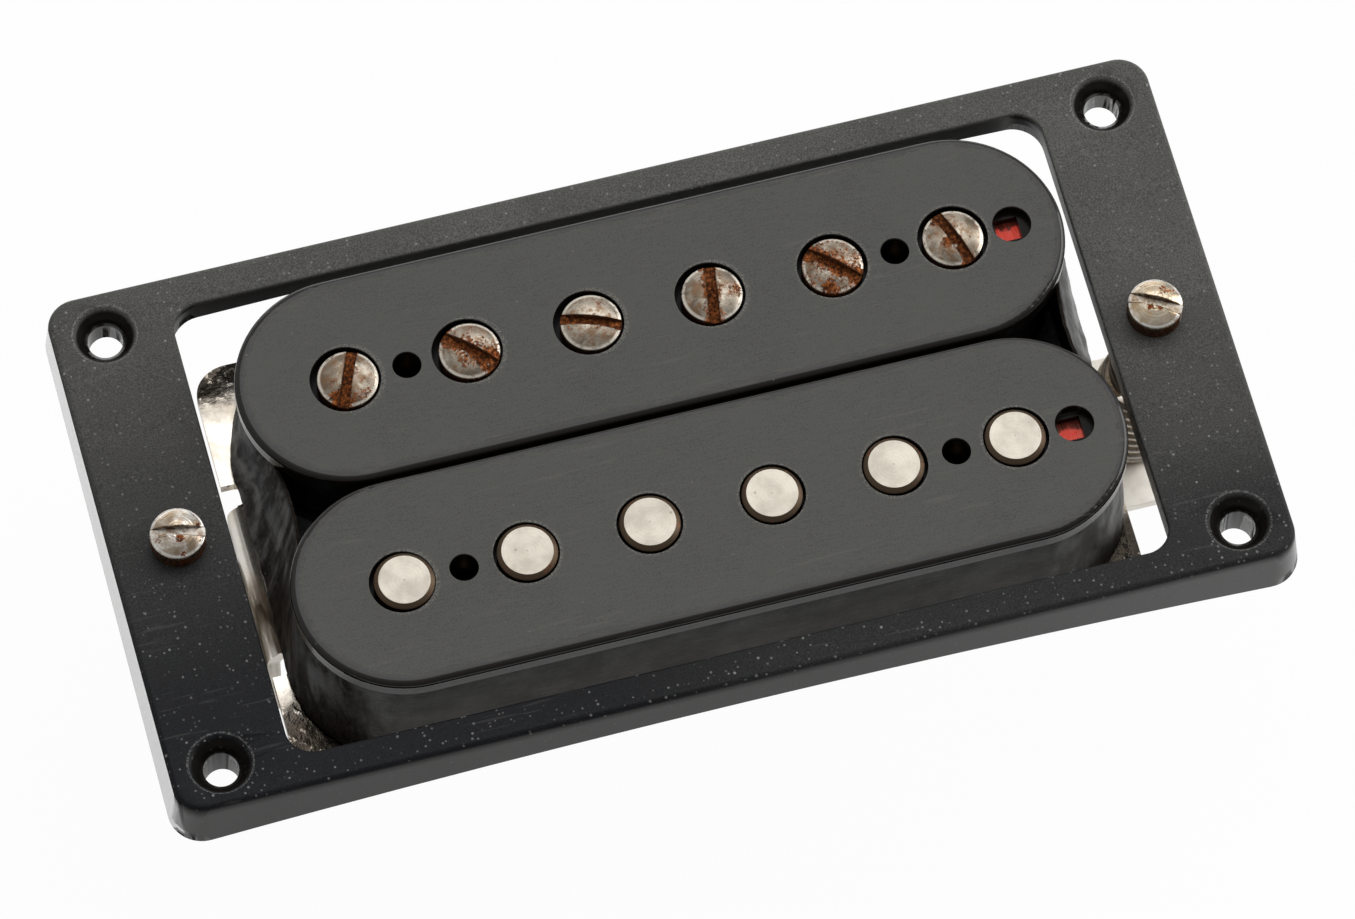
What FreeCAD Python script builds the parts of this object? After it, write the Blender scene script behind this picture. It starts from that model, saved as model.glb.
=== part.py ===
import FreeCAD, Part
import math
import os

# Electric guitar pickup with two coils, hung in its mounting ring. Millimetres.
# The origin is midway between the height screws, level with the spring seats under the ring.
# +X runs along the six poles, +Y from the slug coil to the screw coil, +Z to the strings.

# The mounting ring: a shallow frame, taller on the slug side than on the screw side. Its
# underside is arched along the ring for an arched guitar top.
ring_end_width = 9.75
ring_side_width = 3.05
ring_height_slug_side = 3.5
ring_height_screw_side = 2.3
ring_wall_lean = 0.35
window_wall_lean = 0.3
ring_arch_radius = 580.0
ring_arch_rise_slug_side = 0.25
ring_arch_rise_screw_side = 1.05
ring_corner_radius = 2.65
ring_edge_radius = 0.45
window_end_gap = 1.15
window_side_gap = 1.2
window_corner_radius = 2.2
window_edge_radius = 0.2
corner_hole_from_end = 4.45
corner_hole_from_side = 3.95
corner_hole_diameter = 2.8
countersink_diameter = 5.1
countersink_depth = 1.4

# The height screws, their springs and the feet that they turn in.
height_screw_from_end = 5.75
height_screw_diameter = 2.5
height_screw_overhang = 6.5
height_head_diameter = 4.35
height_head_rim = 1.65
height_head_crown = 0.6
height_head_edge = 0.15
height_slot_width = 0.85
height_slot_depth = 0.95
height_slot_angle_left = -11.0
height_slot_angle_right = -29.0
screw_tip_chamfer = 0.35
spring_wire = 0.65
spring_mean_diameter = 5.4
spring_turns = 7
spring_end_bend = 0.95
spring_seat_gap = 0.27

# The two bobbins side by side, and where they sit over the ring.
bobbin_top_height = 5.9
pole_offset = 0.9
pole_pitch = 9.8
pole_count = 6
bobbin_width = 17.6
bobbin_gap = 0.3
bobbin_height = 10.2
top_flange = 1.6
top_flange_edge = 0.5
bottom_flange = 1.2
bottom_flange_setback = 0.7
core_width = 6.6
core_end_reach = 3.35
pole_seat_gap = 0.375
pole_seat_play = 0.15
pole_seat_shifts = (-0.2, -0.2, -0.2, -0.17, -0.04, -0.03)
slug_entry_gap = 0.22
slug_entry_shifts = (-0.17, -0.07, -0.02, 0.04, 0.09, 0.07)
fixing_hole_diameter = 2.3
fixing_hole_shift = 0.15
peep_recess_diameter = 3.1
peep_recess_depth = 0.9
peep_hole_side = 1.9
peep_hole_shift = 0.3
peep_distance = 4.8
lead_slot_width = 1.2
lead_slot_depth = 2.2

# The wire and the tapes round it.
tape_thickness = 0.23
wrap_thickness = 0.27
wrap_top_margin = 0.42
wrap_coil_gap = 0.16
wrap_foot_flare = 0.75
wrap_foot_shift = -0.35
wrap_foot_gap = 0.45
wrap_top_draw = 20.0
wrap_foot_draw = 2.0

# The pole screws and slugs.
pole_screw_diameter = 3.1
pole_screw_overhang = 4.35
pole_head_diameter = 4.85
pole_head_rim = 1.35
pole_head_crown = 0.5
pole_head_edge = 0.12
pole_head_rise = -0.08
pole_slot_width = 0.75
pole_slot_depth = 0.95
pole_slot_angles = (68.0, -43.5, -20.0, 81.0, -43.0, -71.0)
slug_diameter = 4.76
slug_rise = 0.35
slug_foot_gap = 1.05
slug_chamfer = 0.36

# The magnet, the bar that the pole screws turn in, and the wooden spacer.
magnet_thickness = 3.2
magnet_end_setback = 1.35
keeper_width = 6.35
keeper_end_setback = 1.65
spacer_end_setback = 5.1
spacer_side_setback = 1.6
bar_edge = 0.25

# The baseplate with its two bent legs.
plate_end_margin = 0.95
plate_offset = 0.3
plate_side_margin = 1.05
plate_thickness = 1.0
plate_corner_radius = 2.6
leg_width = 13.2
leg_drop = 10.6
leg_bend_inside = 0.8
relief_width = 1.9
foot_reach = 4.2
foot_corner_radius = 1.8
lead_hole_diameter = 3.2
lead_hole_from_end = 6.0
lead_hole_from_side = 3.1

# The brass screws that hold the bobbins down.
fixing_screw_diameter = 1.9
fixing_screw_bite = 5.3
fixing_head_diameter = 3.8
fixing_head_height = 1.4
fixing_slot_width = 0.6
fixing_slot_depth = 0.7

# Clearances and the overrun of every cut.
seat_gap = 0.03
thread_gap = 0.075
ring_bore_gap = 0.2
pole_bore_gap = 0.1
plate_bore_gap = 0.3
press_gap = 0.02
overrun = 1.0

# Lengths that follow from the sizes above, from the poles outwards to the ring.
pole_span = (pole_count - 1) * pole_pitch
row_spacing = bobbin_width + bobbin_gap
bobbin_reach = pole_span + 2 * core_end_reach - core_width
bobbin_length = bobbin_reach + bobbin_width
fixing_hole_spacing = pole_span - pole_pitch + 2 * fixing_hole_shift
coil_outer_width = bobbin_width - 2 * (wrap_top_margin + wrap_thickness + wrap_coil_gap)
plate_length = bobbin_length + 2 * plate_end_margin
plate_width = row_spacing + bobbin_width + 2 * plate_side_margin
window_length = plate_length + 2 * window_end_gap
window_width = plate_width + 2 * window_side_gap
ring_length = window_length + 2 * ring_end_width
ring_width = window_width + 2 * ring_side_width
corner_hole_spacing_x = ring_length - 2 * corner_hole_from_end
corner_hole_spacing_y = ring_width - 2 * corner_hole_from_side
height_screw_spacing = ring_length - 2 * height_screw_from_end

# Heights that follow from the sizes above.
bobbin_bottom = bobbin_top_height - bobbin_height
plate_top = bobbin_bottom - magnet_thickness
plate_bottom = plate_top - plate_thickness
foot_bottom = plate_bottom - leg_drop
foot_top = foot_bottom + plate_thickness
screw_row = row_spacing / 2
slug_row = -row_spacing / 2
ring_slope = (ring_height_screw_side - ring_height_slug_side) / ring_width
ring_middle_height = (ring_height_screw_side + ring_height_slug_side) / 2
ring_arch_tilt = (ring_arch_rise_screw_side - ring_arch_rise_slug_side) / ring_width
ring_arch_middle = (ring_arch_rise_screw_side + ring_arch_rise_slug_side) / 2
ring_arch_fall = ring_length * ring_length / (8 * ring_arch_radius)
ring_low = min(ring_arch_rise_slug_side, ring_arch_rise_screw_side) - ring_arch_fall - overrun


def vector(x, y, z):
    return FreeCAD.Vector(x, y, z)


def ring_top(y):
    return ring_middle_height + ring_slope * y


def pole_x(index):
    return pole_offset + (index - (pole_count - 1) / 2) * pole_pitch


def cylinder(radius, height, x, y, z):
    return Part.makeCylinder(radius, height, vector(x, y, z))


def box(length, width, height, x, y, z):
    """A box centred on x and y that stands on z."""
    return Part.makeBox(length, width, height, vector(x - length / 2, y - width / 2, z))


def rounded_rectangle(length, width, radius, z, x=0):
    """A closed wire of four lines and four quarter arcs about x on the Y axis."""
    right = length / 2 - radius
    back = width / 2 - radius
    edges = []
    for turn, cx, cy in ((0, right, back), (1, -right, back), (2, -right, -back), (3, right, -back)):
        first = turn * 90
        edges.append(arc(x + cx, cy, radius, first, first + 90, z))
    return joined_by_lines(edges)


def arc(cx, cy, radius, first, last, z):
    """An arc of a circle in the level plane at z, from one angle in degrees to another."""
    points = []
    for angle in (first, (first + last) / 2, last):
        turn = math.radians(angle)
        points.append(vector(cx + radius * math.cos(turn), cy + radius * math.sin(turn), z))
    return Part.Arc(*points).toShape()


def joined_by_lines(arcs):
    """The closed wire that runs through the arcs in turn with a line from each to the next."""
    edges = []
    for index, edge in enumerate(arcs):
        after = arcs[(index + 1) % len(arcs)]
        start = edge.valueAt(edge.LastParameter)
        end = after.valueAt(after.FirstParameter)
        edges.append(edge)
        if start.distanceToPoint(end) > press_gap / 10:
            edges.append(Part.LineSegment(start, end).toShape())
    return Part.Wire(edges)


def prism(wire, height):
    return Part.Face(wire).extrude(vector(0, 0, height))


def stadium(length, width, height, x, y, z):
    """A solid with parallel sides and full round ends."""
    radius = width / 2
    reach = length / 2 - radius
    ends = [arc(x + reach, y, radius, -90, 90, z), arc(x - reach, y, radius, 90, 270, z)]
    return prism(joined_by_lines(ends), height)


def edges_at(shape, test):
    """The edges whose every vertex passes the test."""
    return [edge for edge in shape.Edges if all(test(vertex.Point) for vertex in edge.Vertexes)]


def revolved(points, x, y):
    """A solid turned about the vertical line through x, y from radius and height pairs."""
    corners = [vector(radius, 0, z) for radius, z in points]
    outline = Part.makePolygon(corners + corners[:1])
    solid = Part.Face(outline).revolve(vector(0, 0, 0), vector(0, 0, 1), 360)
    solid.translate(vector(x, y, 0))
    return solid


def crowned_head(diameter, rim, crown, edge, x, y, z):
    """A round screw head that stands on z: straight rim, softened edge and low dome."""
    radius = diameter / 2
    flat = radius - edge
    start = vector(0, 0, z)
    foot = vector(radius, 0, z)
    shoulder = vector(radius, 0, z + rim - edge)
    brow = vector(flat, 0, z + rim)
    peak = vector(0, 0, z + rim + crown)
    dome_radius = (flat * flat + crown * crown) / (2 * crown)
    half = flat / 2
    rise = math.sqrt(dome_radius * dome_radius - half * half) - dome_radius + crown
    dome = Part.Arc(brow, vector(half, 0, z + rim + rise), peak).toShape()
    lines = [Part.LineSegment(a, b).toShape() for a, b in
             ((start, foot), (foot, shoulder), (shoulder, brow))]
    outline = Part.Wire(lines + [dome, Part.LineSegment(peak, start).toShape()])
    head = Part.Face(outline).revolve(vector(0, 0, 0), vector(0, 0, 1), 360)
    head.translate(vector(x, y, 0))
    return head


def slotted_screw(diameter, tip, head, head_bottom, slot, x, y):
    """A screw that hangs down from its crowned head, with a straight slot across the crown."""
    head_diameter, rim, crown, edge = head
    slot_width, slot_depth, slot_angle = slot
    radius = diameter / 2
    shank = revolved(((0, head_bottom + rim / 2), (radius, head_bottom + rim / 2),
                      (radius, tip + screw_tip_chamfer), (radius - screw_tip_chamfer, tip),
                      (0, tip)), x, y)
    crowned = crowned_head(head_diameter, rim, crown, edge, x, y, head_bottom)
    top = head_bottom + rim + crown
    cut = box(head_diameter + overrun, slot_width, slot_depth + overrun, x, y, top - slot_depth)
    cut.rotate(vector(x, y, 0), vector(0, 0, 1), slot_angle)
    return crowned.cut(cut).fuse(shank.cut(cut)).removeSplitter()


def leaning_block(length, width, radius, lean, low, high):
    """A block whose walls lean by lean over the ring's middle height, true to size at z 0."""
    wires = []
    for z in (low, high):
        inset = lean * z / ring_middle_height
        wires.append(rounded_rectangle(length - 2 * inset, width - 2 * inset, radius - inset, z))
    return Part.makeLoft(wires, True, True)


def under_ring():
    """The arched room under the ring: a wide cylinder whose axis tilts with the ring's taper."""
    axis = vector(0, 1, ring_arch_tilt)
    base = vector(0, 0, ring_arch_middle) - axis * ring_width
    across = vector(0, -ring_arch_tilt, 1)
    across.normalize()
    return Part.makeCylinder(ring_arch_radius, 2 * ring_width * axis.Length,
                             base - across * ring_arch_radius, axis)


def mounting_ring():
    stock = max(ring_height_slug_side, ring_height_screw_side) + overrun
    body = leaning_block(ring_length, ring_width, ring_corner_radius, ring_wall_lean,
                         ring_low, stock)
    body = body.cut(under_ring())
    reach_y = ring_width / 2 + overrun
    reach_x = ring_length / 2 + overrun
    above = Part.makePolygon([vector(-reach_x, -reach_y, ring_top(-reach_y)),
                              vector(-reach_x, reach_y, ring_top(reach_y)),
                              vector(-reach_x, reach_y, stock + overrun),
                              vector(-reach_x, -reach_y, stock + overrun),
                              vector(-reach_x, -reach_y, ring_top(-reach_y))])
    body = body.cut(Part.Face(above).extrude(vector(2 * reach_x, 0, 0)))
    on_top = edges_at(body, lambda p: abs(p.z - ring_top(p.y)) < press_gap)
    body = body.makeFillet(ring_edge_radius, on_top)
    slack = 2 * window_wall_lean
    opening = leaning_block(window_length + slack, window_width + slack,
                            window_corner_radius + window_wall_lean, window_wall_lean,
                            ring_low - overrun, stock + overrun)
    body = body.cut(opening)
    inside = window_length / 2 + window_wall_lean
    on_brim = edges_at(body, lambda p: abs(p.z - ring_top(p.y)) < press_gap
                       and abs(p.x) < inside
                       and abs(p.y) < window_width / 2 + window_wall_lean)
    body = body.makeFillet(window_edge_radius, on_brim)
    for x in (-corner_hole_spacing_x / 2, corner_hole_spacing_x / 2):
        for y in (-corner_hole_spacing_y / 2, corner_hole_spacing_y / 2):
            body = body.cut(countersunk_bore(x, y))
    for x in (-height_screw_spacing / 2, height_screw_spacing / 2):
        radius = height_screw_diameter / 2 + ring_bore_gap
        body = body.cut(cylinder(radius, stock - ring_low + overrun, x, 0, ring_low))
        seat = (spring_mean_diameter + spring_wire) / 2 + spring_seat_gap
        body = body.cut(cylinder(seat, -ring_low, x, 0, ring_low))
    return body


def countersunk_bore(x, y):
    """The cutter of one corner hole: a straight bore and a cone that opens to the top."""
    bore = corner_hole_diameter / 2
    rim = countersink_diameter / 2
    top = ring_top(y)
    widening = (rim - bore) / countersink_depth
    return revolved(((0, ring_low), (bore, ring_low), (bore, top - countersink_depth),
                     (rim + widening * overrun, top + overrun), (0, top + overrun)), x, y)


def bobbin(row, pole_hole_diameter, seat_diameter, seat_depth, seat_shifts):
    """One moulded bobbin: two flanges on a narrow core, with its holes."""
    top = bobbin_top_height
    flange = stadium(bobbin_length, bobbin_width, top_flange, pole_offset, row, top - top_flange)
    rim = edges_at(flange, lambda p: abs(p.z - top) < press_gap)
    flange = flange.makeFillet(top_flange_edge, rim)
    core = stadium(bobbin_reach + core_width, core_width, bobbin_height, pole_offset, row,
                   bobbin_bottom)
    low_width = bobbin_width - 2 * bottom_flange_setback
    low = stadium(bobbin_reach + low_width, low_width, bottom_flange, pole_offset, row,
                  bobbin_bottom)
    body = flange.fuse(core).fuse(low).removeSplitter()
    deep = bobbin_height + 2 * overrun
    for index in range(pole_count):
        x = pole_x(index)
        body = body.cut(cylinder(pole_hole_diameter / 2, deep, x, row, bobbin_bottom - overrun))
        body = body.cut(cylinder(seat_diameter / 2, seat_depth + overrun, x + seat_shifts[index],
                                 row, top - seat_depth))
    for side in (-1, 1):
        x = pole_offset + side * fixing_hole_spacing / 2
        body = body.cut(cylinder(fixing_hole_diameter / 2, deep, x, row, bobbin_bottom - overrun))
    peep = pole_x(pole_count - 1) + peep_distance
    body = body.cut(cylinder(peep_recess_diameter / 2, peep_recess_depth + overrun, peep, row,
                             top - peep_recess_depth))
    body = body.cut(box(peep_hole_side, peep_hole_side, top_flange + 2 * overrun,
                        peep - peep_hole_shift, row, top - top_flange - overrun))
    for side in (-1, 1):
        slot_x = pole_offset - bobbin_length / 2 + bottom_flange_setback
        slot_y = row + side * core_width / 2
        body = body.cut(box(2 * lead_slot_depth, lead_slot_width, bottom_flange + 2 * overrun,
                            slot_x + lead_slot_width, slot_y, bobbin_bottom - overrun))
    return body


def screw_bobbin():
    hole = pole_screw_diameter + 2 * pole_bore_gap
    seat = pole_head_diameter + 2 * pole_seat_gap
    depth = pole_head_rim - pole_head_rise + pole_seat_play
    return bobbin(screw_row, hole, seat, depth, pole_seat_shifts)


def slug_bobbin():
    hole = slug_diameter + 2 * press_gap
    entry = slug_diameter + 2 * slug_entry_gap
    return bobbin(slug_row, hole, entry, top_flange, slug_entry_shifts)


def band(row, inner_width, outer_width):
    """A closed band round one bobbin's core that fills the room between its flanges."""
    base = bobbin_bottom + bottom_flange + press_gap
    tall = bobbin_height - bottom_flange - top_flange - 2 * press_gap
    outer = stadium(bobbin_reach + outer_width, outer_width, tall, pole_offset, row, base)
    inner = stadium(bobbin_reach + inner_width, inner_width, tall + 2 * overrun, pole_offset, row,
                    base - overrun)
    return outer.cut(inner)


def coil_winding(row):
    inner = core_width + 2 * press_gap
    return band(row, inner, coil_outer_width - 2 * (tape_thickness + press_gap))


def coil_tape(row):
    return band(row, coil_outer_width - 2 * tape_thickness, coil_outer_width)


def wrap_outline(radius, draw, shift, z):
    """The outline round both coils, drawn in between them by the angle draw at each end."""
    reach = bobbin_reach / 2
    length = screw_row / math.sin(math.radians(draw))
    dip_radius = length - radius
    dip_x = reach + length * math.cos(math.radians(draw))
    x = pole_offset + shift
    arcs = [arc(x + reach, screw_row, radius, 90, -draw, z),
            arc(x + dip_x, 0, dip_radius, 180 - draw, 180 + draw, z),
            arc(x + reach, slug_row, radius, draw, -90, z),
            arc(x - reach, slug_row, radius, -90, -180 - draw, z),
            arc(x - dip_x, 0, dip_radius, -draw, draw, z),
            arc(x - reach, screw_row, radius, 180 + draw, 90, z)]
    return joined_by_lines(arcs)


def outer_tape_wrap():
    top = bobbin_top_height - top_flange - press_gap
    foot = plate_top + wrap_foot_gap
    neck = bobbin_width / 2 - wrap_top_margin
    shells = []
    for inset in (0, wrap_thickness):
        low = wrap_outline(neck + wrap_foot_flare - inset, wrap_foot_draw, wrap_foot_shift, foot)
        high = wrap_outline(neck - inset, wrap_top_draw, 0, top)
        shells.append(Part.makeLoft([low, high], True, True))
    return shells[0].cut(shells[1])


def softened_bar(length, width, thickness, x, y, z):
    bar = box(length, width, thickness, x, y, z)
    sides = edges_at(bar, lambda p: True)
    long_edges = [edge for edge in sides if abs(edge.Length - length) < press_gap]
    return bar.makeChamfer(bar_edge, long_edges)


def keeper_bar():
    length = bobbin_length - 2 * keeper_end_setback
    bar = softened_bar(length, keeper_width, magnet_thickness, pole_offset, screw_row, plate_top)
    tapped = pole_screw_diameter / 2 + thread_gap
    for index in range(pole_count):
        bar = bar.cut(cylinder(tapped, magnet_thickness + 2 * overrun, pole_x(index), screw_row,
                               plate_top - overrun))
    for side in (-1, 1):
        x = pole_offset + side * fixing_hole_spacing / 2
        radius = fixing_screw_diameter / 2 + plate_bore_gap
        bar = bar.cut(cylinder(radius, magnet_thickness + 2 * overrun, x, screw_row,
                               plate_top - overrun))
    return bar


def bar_magnet():
    """The magnet lies flat between the keeper bar and the sides of the slugs."""
    back = screw_row - keeper_width / 2
    front = slug_row + slug_diameter / 2 + press_gap
    length = bobbin_length - 2 * magnet_end_setback
    return softened_bar(length, back - front, magnet_thickness, pole_offset,
                        (back + front) / 2, plate_top)


def wooden_spacer():
    back = slug_row - slug_diameter / 2 - press_gap
    front = slug_row - bobbin_width / 2 + spacer_side_setback
    length = bobbin_length - 2 * spacer_end_setback
    return softened_bar(length, back - front, magnet_thickness, pole_offset,
                        (back + front) / 2, plate_top)


def pole_screw(index):
    head = (pole_head_diameter, pole_head_rim, pole_head_crown, pole_head_edge)
    slot = (pole_slot_width, pole_slot_depth, pole_slot_angles[index])
    bottom = bobbin_top_height + pole_head_rise - pole_head_rim
    tip = plate_bottom - pole_screw_overhang
    return slotted_screw(pole_screw_diameter, tip, head, bottom, slot, pole_x(index), screw_row)


def slug(index):
    radius = slug_diameter / 2
    top = bobbin_top_height + slug_rise
    low = plate_top + slug_foot_gap
    return revolved(((0, low), (radius - slug_chamfer, low), (radius, low + slug_chamfer),
                     (radius, top - slug_chamfer), (radius - slug_chamfer, top), (0, top)),
                    pole_x(index), slug_row)


def strip(side):
    """One bent leg and foot, cut from a strip of plate that turns down and then out."""
    half = plate_thickness / 2
    bend = leg_bend_inside + plate_thickness
    leg_x = plate_length / 2 + side * plate_offset - half
    start = leg_x + half - bend
    tip = height_screw_spacing / 2 + foot_reach
    level = plate_bottom + half
    low = foot_bottom + half
    radius = leg_bend_inside + half
    outlines = []
    for offset in (half, -half):
        upper = radius + offset
        lower = radius - offset
        first = xz_arc(leg_x - radius, level - radius, upper, 90, 0, side)
        second = xz_arc(leg_x + radius, low + radius, lower, 180, 270, side)
        lead_in = xz_line((start - overrun / 2, level + offset), first, side)
        drop = Part.LineSegment(first.valueAt(first.LastParameter),
                                second.valueAt(second.FirstParameter)).toShape()
        end = vector(side * tip, 0, low + offset)
        run_out = Part.LineSegment(second.valueAt(second.LastParameter), end).toShape()
        outlines.append([lead_in, first, drop, second, run_out])
    outer, inner = outlines
    caps = [Part.LineSegment(outer[0].valueAt(outer[0].FirstParameter),
                             inner[0].valueAt(inner[0].FirstParameter)).toShape(),
            Part.LineSegment(outer[-1].valueAt(outer[-1].LastParameter),
                             inner[-1].valueAt(inner[-1].LastParameter)).toShape()]
    wire = Part.Wire(Part.sortEdges(outer + inner + caps)[0])
    solid = Part.Face(wire).extrude(vector(0, leg_width, 0))
    solid.translate(vector(0, -leg_width / 2, 0))
    corners = [edge for edge in solid.Edges
               if abs(edge.Length - plate_thickness) < press_gap
               and abs(edge.CenterOfMass.x - side * tip) < press_gap]
    return solid.makeFillet(foot_corner_radius, corners)


def xz_arc(cx, cz, radius, first, last, side):
    """An arc in the upright XZ plane, mirrored to either end of the plate."""
    points = []
    for angle in (first, (first + last) / 2, last):
        turn = math.radians(angle)
        points.append(vector(side * (cx + radius * math.cos(turn)), 0,
                             cz + radius * math.sin(turn)))
    return Part.Arc(*points).toShape()


def xz_line(start, edge, side):
    """A line from a point in the XZ plane to where the edge begins."""
    return Part.LineSegment(vector(side * start[0], 0, start[1]),
                            edge.valueAt(edge.FirstParameter)).toShape()


def baseplate():
    bend = leg_bend_inside + plate_thickness
    outline = rounded_rectangle(plate_length, plate_width, plate_corner_radius, plate_bottom,
                                plate_offset)
    plate = prism(outline, plate_thickness)
    deep = plate_thickness + 2 * overrun
    low = plate_bottom - overrun
    for side in (-1, 1):
        end = plate_offset + side * (plate_length / 2 + overrun)
        relief_x = plate_offset + side * (plate_length / 2 - bend + relief_width / 2)
        plate = plate.cut(box(2 * (bend + overrun), leg_width, deep, end, 0, low))
        for hand in (-1, 1):
            relief_y = hand * (leg_width + relief_width) / 2
            plate = plate.cut(cylinder(relief_width / 2, deep, relief_x, relief_y, low))
            mouth = abs(end - relief_x)
            plate = plate.cut(box(mouth, relief_width, deep, (end + relief_x) / 2, relief_y, low))
    for side in (-1, 1):
        plate = plate.fuse(strip(side))
    plate = plate.removeSplitter()
    for index in range(pole_count):
        radius = pole_screw_diameter / 2 + plate_bore_gap
        plate = plate.cut(cylinder(radius, deep, pole_x(index), screw_row, low))
    for row in (screw_row, slug_row):
        for side in (-1, 1):
            x = pole_offset + side * fixing_hole_spacing / 2
            radius = fixing_screw_diameter / 2 + ring_bore_gap
            plate = plate.cut(cylinder(radius, deep, x, row, low))
    lead_x = plate_offset + plate_length / 2 - lead_hole_from_end
    lead_y = plate_width / 2 - lead_hole_from_side
    plate = plate.cut(cylinder(lead_hole_diameter / 2, deep, lead_x, lead_y, low))
    for side in (-1, 1):
        radius = height_screw_diameter / 2 + thread_gap
        plate = plate.cut(cylinder(radius, deep, side * height_screw_spacing / 2, 0,
                                   foot_bottom - overrun))
    return plate


def bobbin_screws():
    """Four small brass screws, driven from under the plate up into the bobbins."""
    screws = []
    for row in (screw_row, slug_row):
        for side in (-1, 1):
            x = pole_offset + side * fixing_hole_spacing / 2
            screws.append(fixing_screw(x, row))
    return Part.makeCompound(screws)


def fixing_screw(x, y):
    shank = fixing_screw_diameter / 2
    head = fixing_head_diameter / 2
    seat = plate_bottom
    tip = bobbin_bottom + fixing_screw_bite
    low = seat - fixing_head_height
    body = revolved(((0, low), (head - screw_tip_chamfer, low), (head, low + screw_tip_chamfer),
                     (head, seat), (shank, seat), (shank, tip - screw_tip_chamfer),
                     (shank - screw_tip_chamfer, tip), (0, tip)), x, y)
    return body.cut(box(fixing_head_diameter + overrun, fixing_slot_width,
                        fixing_slot_depth + overrun, x, y, low - overrun))


def height_screw(side, slot_angle):
    head = (height_head_diameter, height_head_rim, height_head_crown, height_head_edge)
    slot = (height_slot_width, height_slot_depth, slot_angle)
    seat = ring_top(-height_head_diameter / 2) + seat_gap
    tip = foot_bottom - height_screw_overhang
    return slotted_screw(height_screw_diameter, tip, head, seat, slot,
                         side * height_screw_spacing / 2, 0)


def coil_point(angle, top, pitch):
    """A point of the helix and its direction, angle in radians down from its upper end."""
    radius = spring_mean_diameter / 2
    drop = pitch / (2 * math.pi)
    place = vector(radius * math.cos(angle), radius * math.sin(angle), top - drop * angle)
    heading = vector(-radius * math.sin(angle), radius * math.cos(angle), -drop)
    heading.normalize()
    return place, heading


def arc_by_tangent(start, heading, end):
    """The arc that leaves start along heading and reaches end."""
    chord = end - start
    along = chord.dot(heading)
    across = chord - heading * along
    width = across.Length
    side = across * (1 / width)
    radius = chord.dot(chord) / (2 * width)
    centre = start + side * radius
    middle = (start + end) * (1 / 2) - centre
    middle.normalize()
    return Part.Arc(start, centre + middle * radius, end).toShape()


def biarc(start, start_heading, end, end_heading):
    """Two arcs that meet smoothly between two points with their directions."""
    chord = end - start
    total = start_heading + end_heading
    twist = 2 * (1 - start_heading.dot(end_heading))
    along = chord.dot(total)
    reach = (math.sqrt(along * along + twist * chord.dot(chord)) - along) / twist
    joint = (start + end + (start_heading - end_heading) * reach) * (1 / 2)
    back = end_heading * -1
    second = arc_by_tangent(end, back, joint)
    return [arc_by_tangent(start, start_heading, joint), second]


def spring_path():
    """The centre line of the wire, from the ring's underside down to the top of the foot."""
    drop = -foot_top
    turns = spring_turns
    circumference = math.pi * spring_mean_diameter
    pitch = (drop - 2 * (spring_wire + spring_end_bend)) / turns
    slope = math.atan(pitch / circumference)
    swing = math.pi / 2 - slope
    top = -spring_wire - spring_end_bend * math.sin(swing)
    low = foot_top - top
    pitch = (top - low) / turns
    down = vector(0, 0, -1)
    place, heading = coil_point(0, top, pitch)
    sideways = vector(heading.x, heading.y, 0)
    sideways.normalize()
    bend_start = place - down * (spring_end_bend * math.sin(swing))
    bend_start = bend_start - sideways * (spring_end_bend * (1 - math.cos(swing)))
    edges = [Part.LineSegment(vector(bend_start.x, bend_start.y, 0), bend_start).toShape(),
             arc_by_tangent(place, heading * -1, bend_start)]
    steps = 2 * turns
    for step in range(steps):
        first = coil_point(step * math.pi, top, pitch)
        last = coil_point((step + 1) * math.pi, top, pitch)
        edges += biarc(first[0], first[1], last[0], last[1])
    place, heading = coil_point(steps * math.pi, top, pitch)
    sideways = vector(heading.x, heading.y, 0)
    sideways.normalize()
    bend_end = place + down * (spring_end_bend * math.sin(swing))
    bend_end = bend_end + sideways * (spring_end_bend * (1 - math.cos(swing)))
    edges.append(arc_by_tangent(place, heading, bend_end))
    edges.append(Part.LineSegment(bend_end, vector(bend_end.x, bend_end.y, foot_top)).toShape())
    return Part.Wire(edges), bend_start


def least_self_gap(wire):
    """The smallest clear distance between parts of the wire that are a half turn or more apart."""
    points = wire.discretize(Number=40 * spring_turns)
    apart = len(points) // (2 * spring_turns)
    least = min((points[i] - points[j]).Length for i in range(len(points))
                for j in range(i + apart, len(points)))
    return least - spring_wire


def height_spring(side):
    path, start = spring_path()
    circle = Part.Circle(vector(start.x, start.y, 0), vector(0, 0, -1), spring_wire / 2)
    pipe = Part.BRepOffsetAPI.MakePipeShell(path)
    pipe.add(Part.Wire([circle.toShape()]))
    pipe.build()
    pipe.makeSolid()
    coil = pipe.shape()
    expected = math.pi * spring_wire * spring_wire / 4 * path.Length
    print("spring gap", round(least_self_gap(path), 3), "volume ratio",
          round(coil.Volume / expected, 4))
    coil.translate(vector(side * height_screw_spacing / 2, 0, 0))
    return coil


def write(name, shape):
    """Checks that every piece is closed and writes it to its file."""
    for solid in shape.Solids:
        if not solid.isValid() or solid.Volume <= 0:
            raise ValueError(name + " is not a sound solid")
    shape.exportStep("parts/" + name + ".step")
    print(name, len(shape.Solids), "solids", round(shape.Volume, 1), "mm3")


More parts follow.
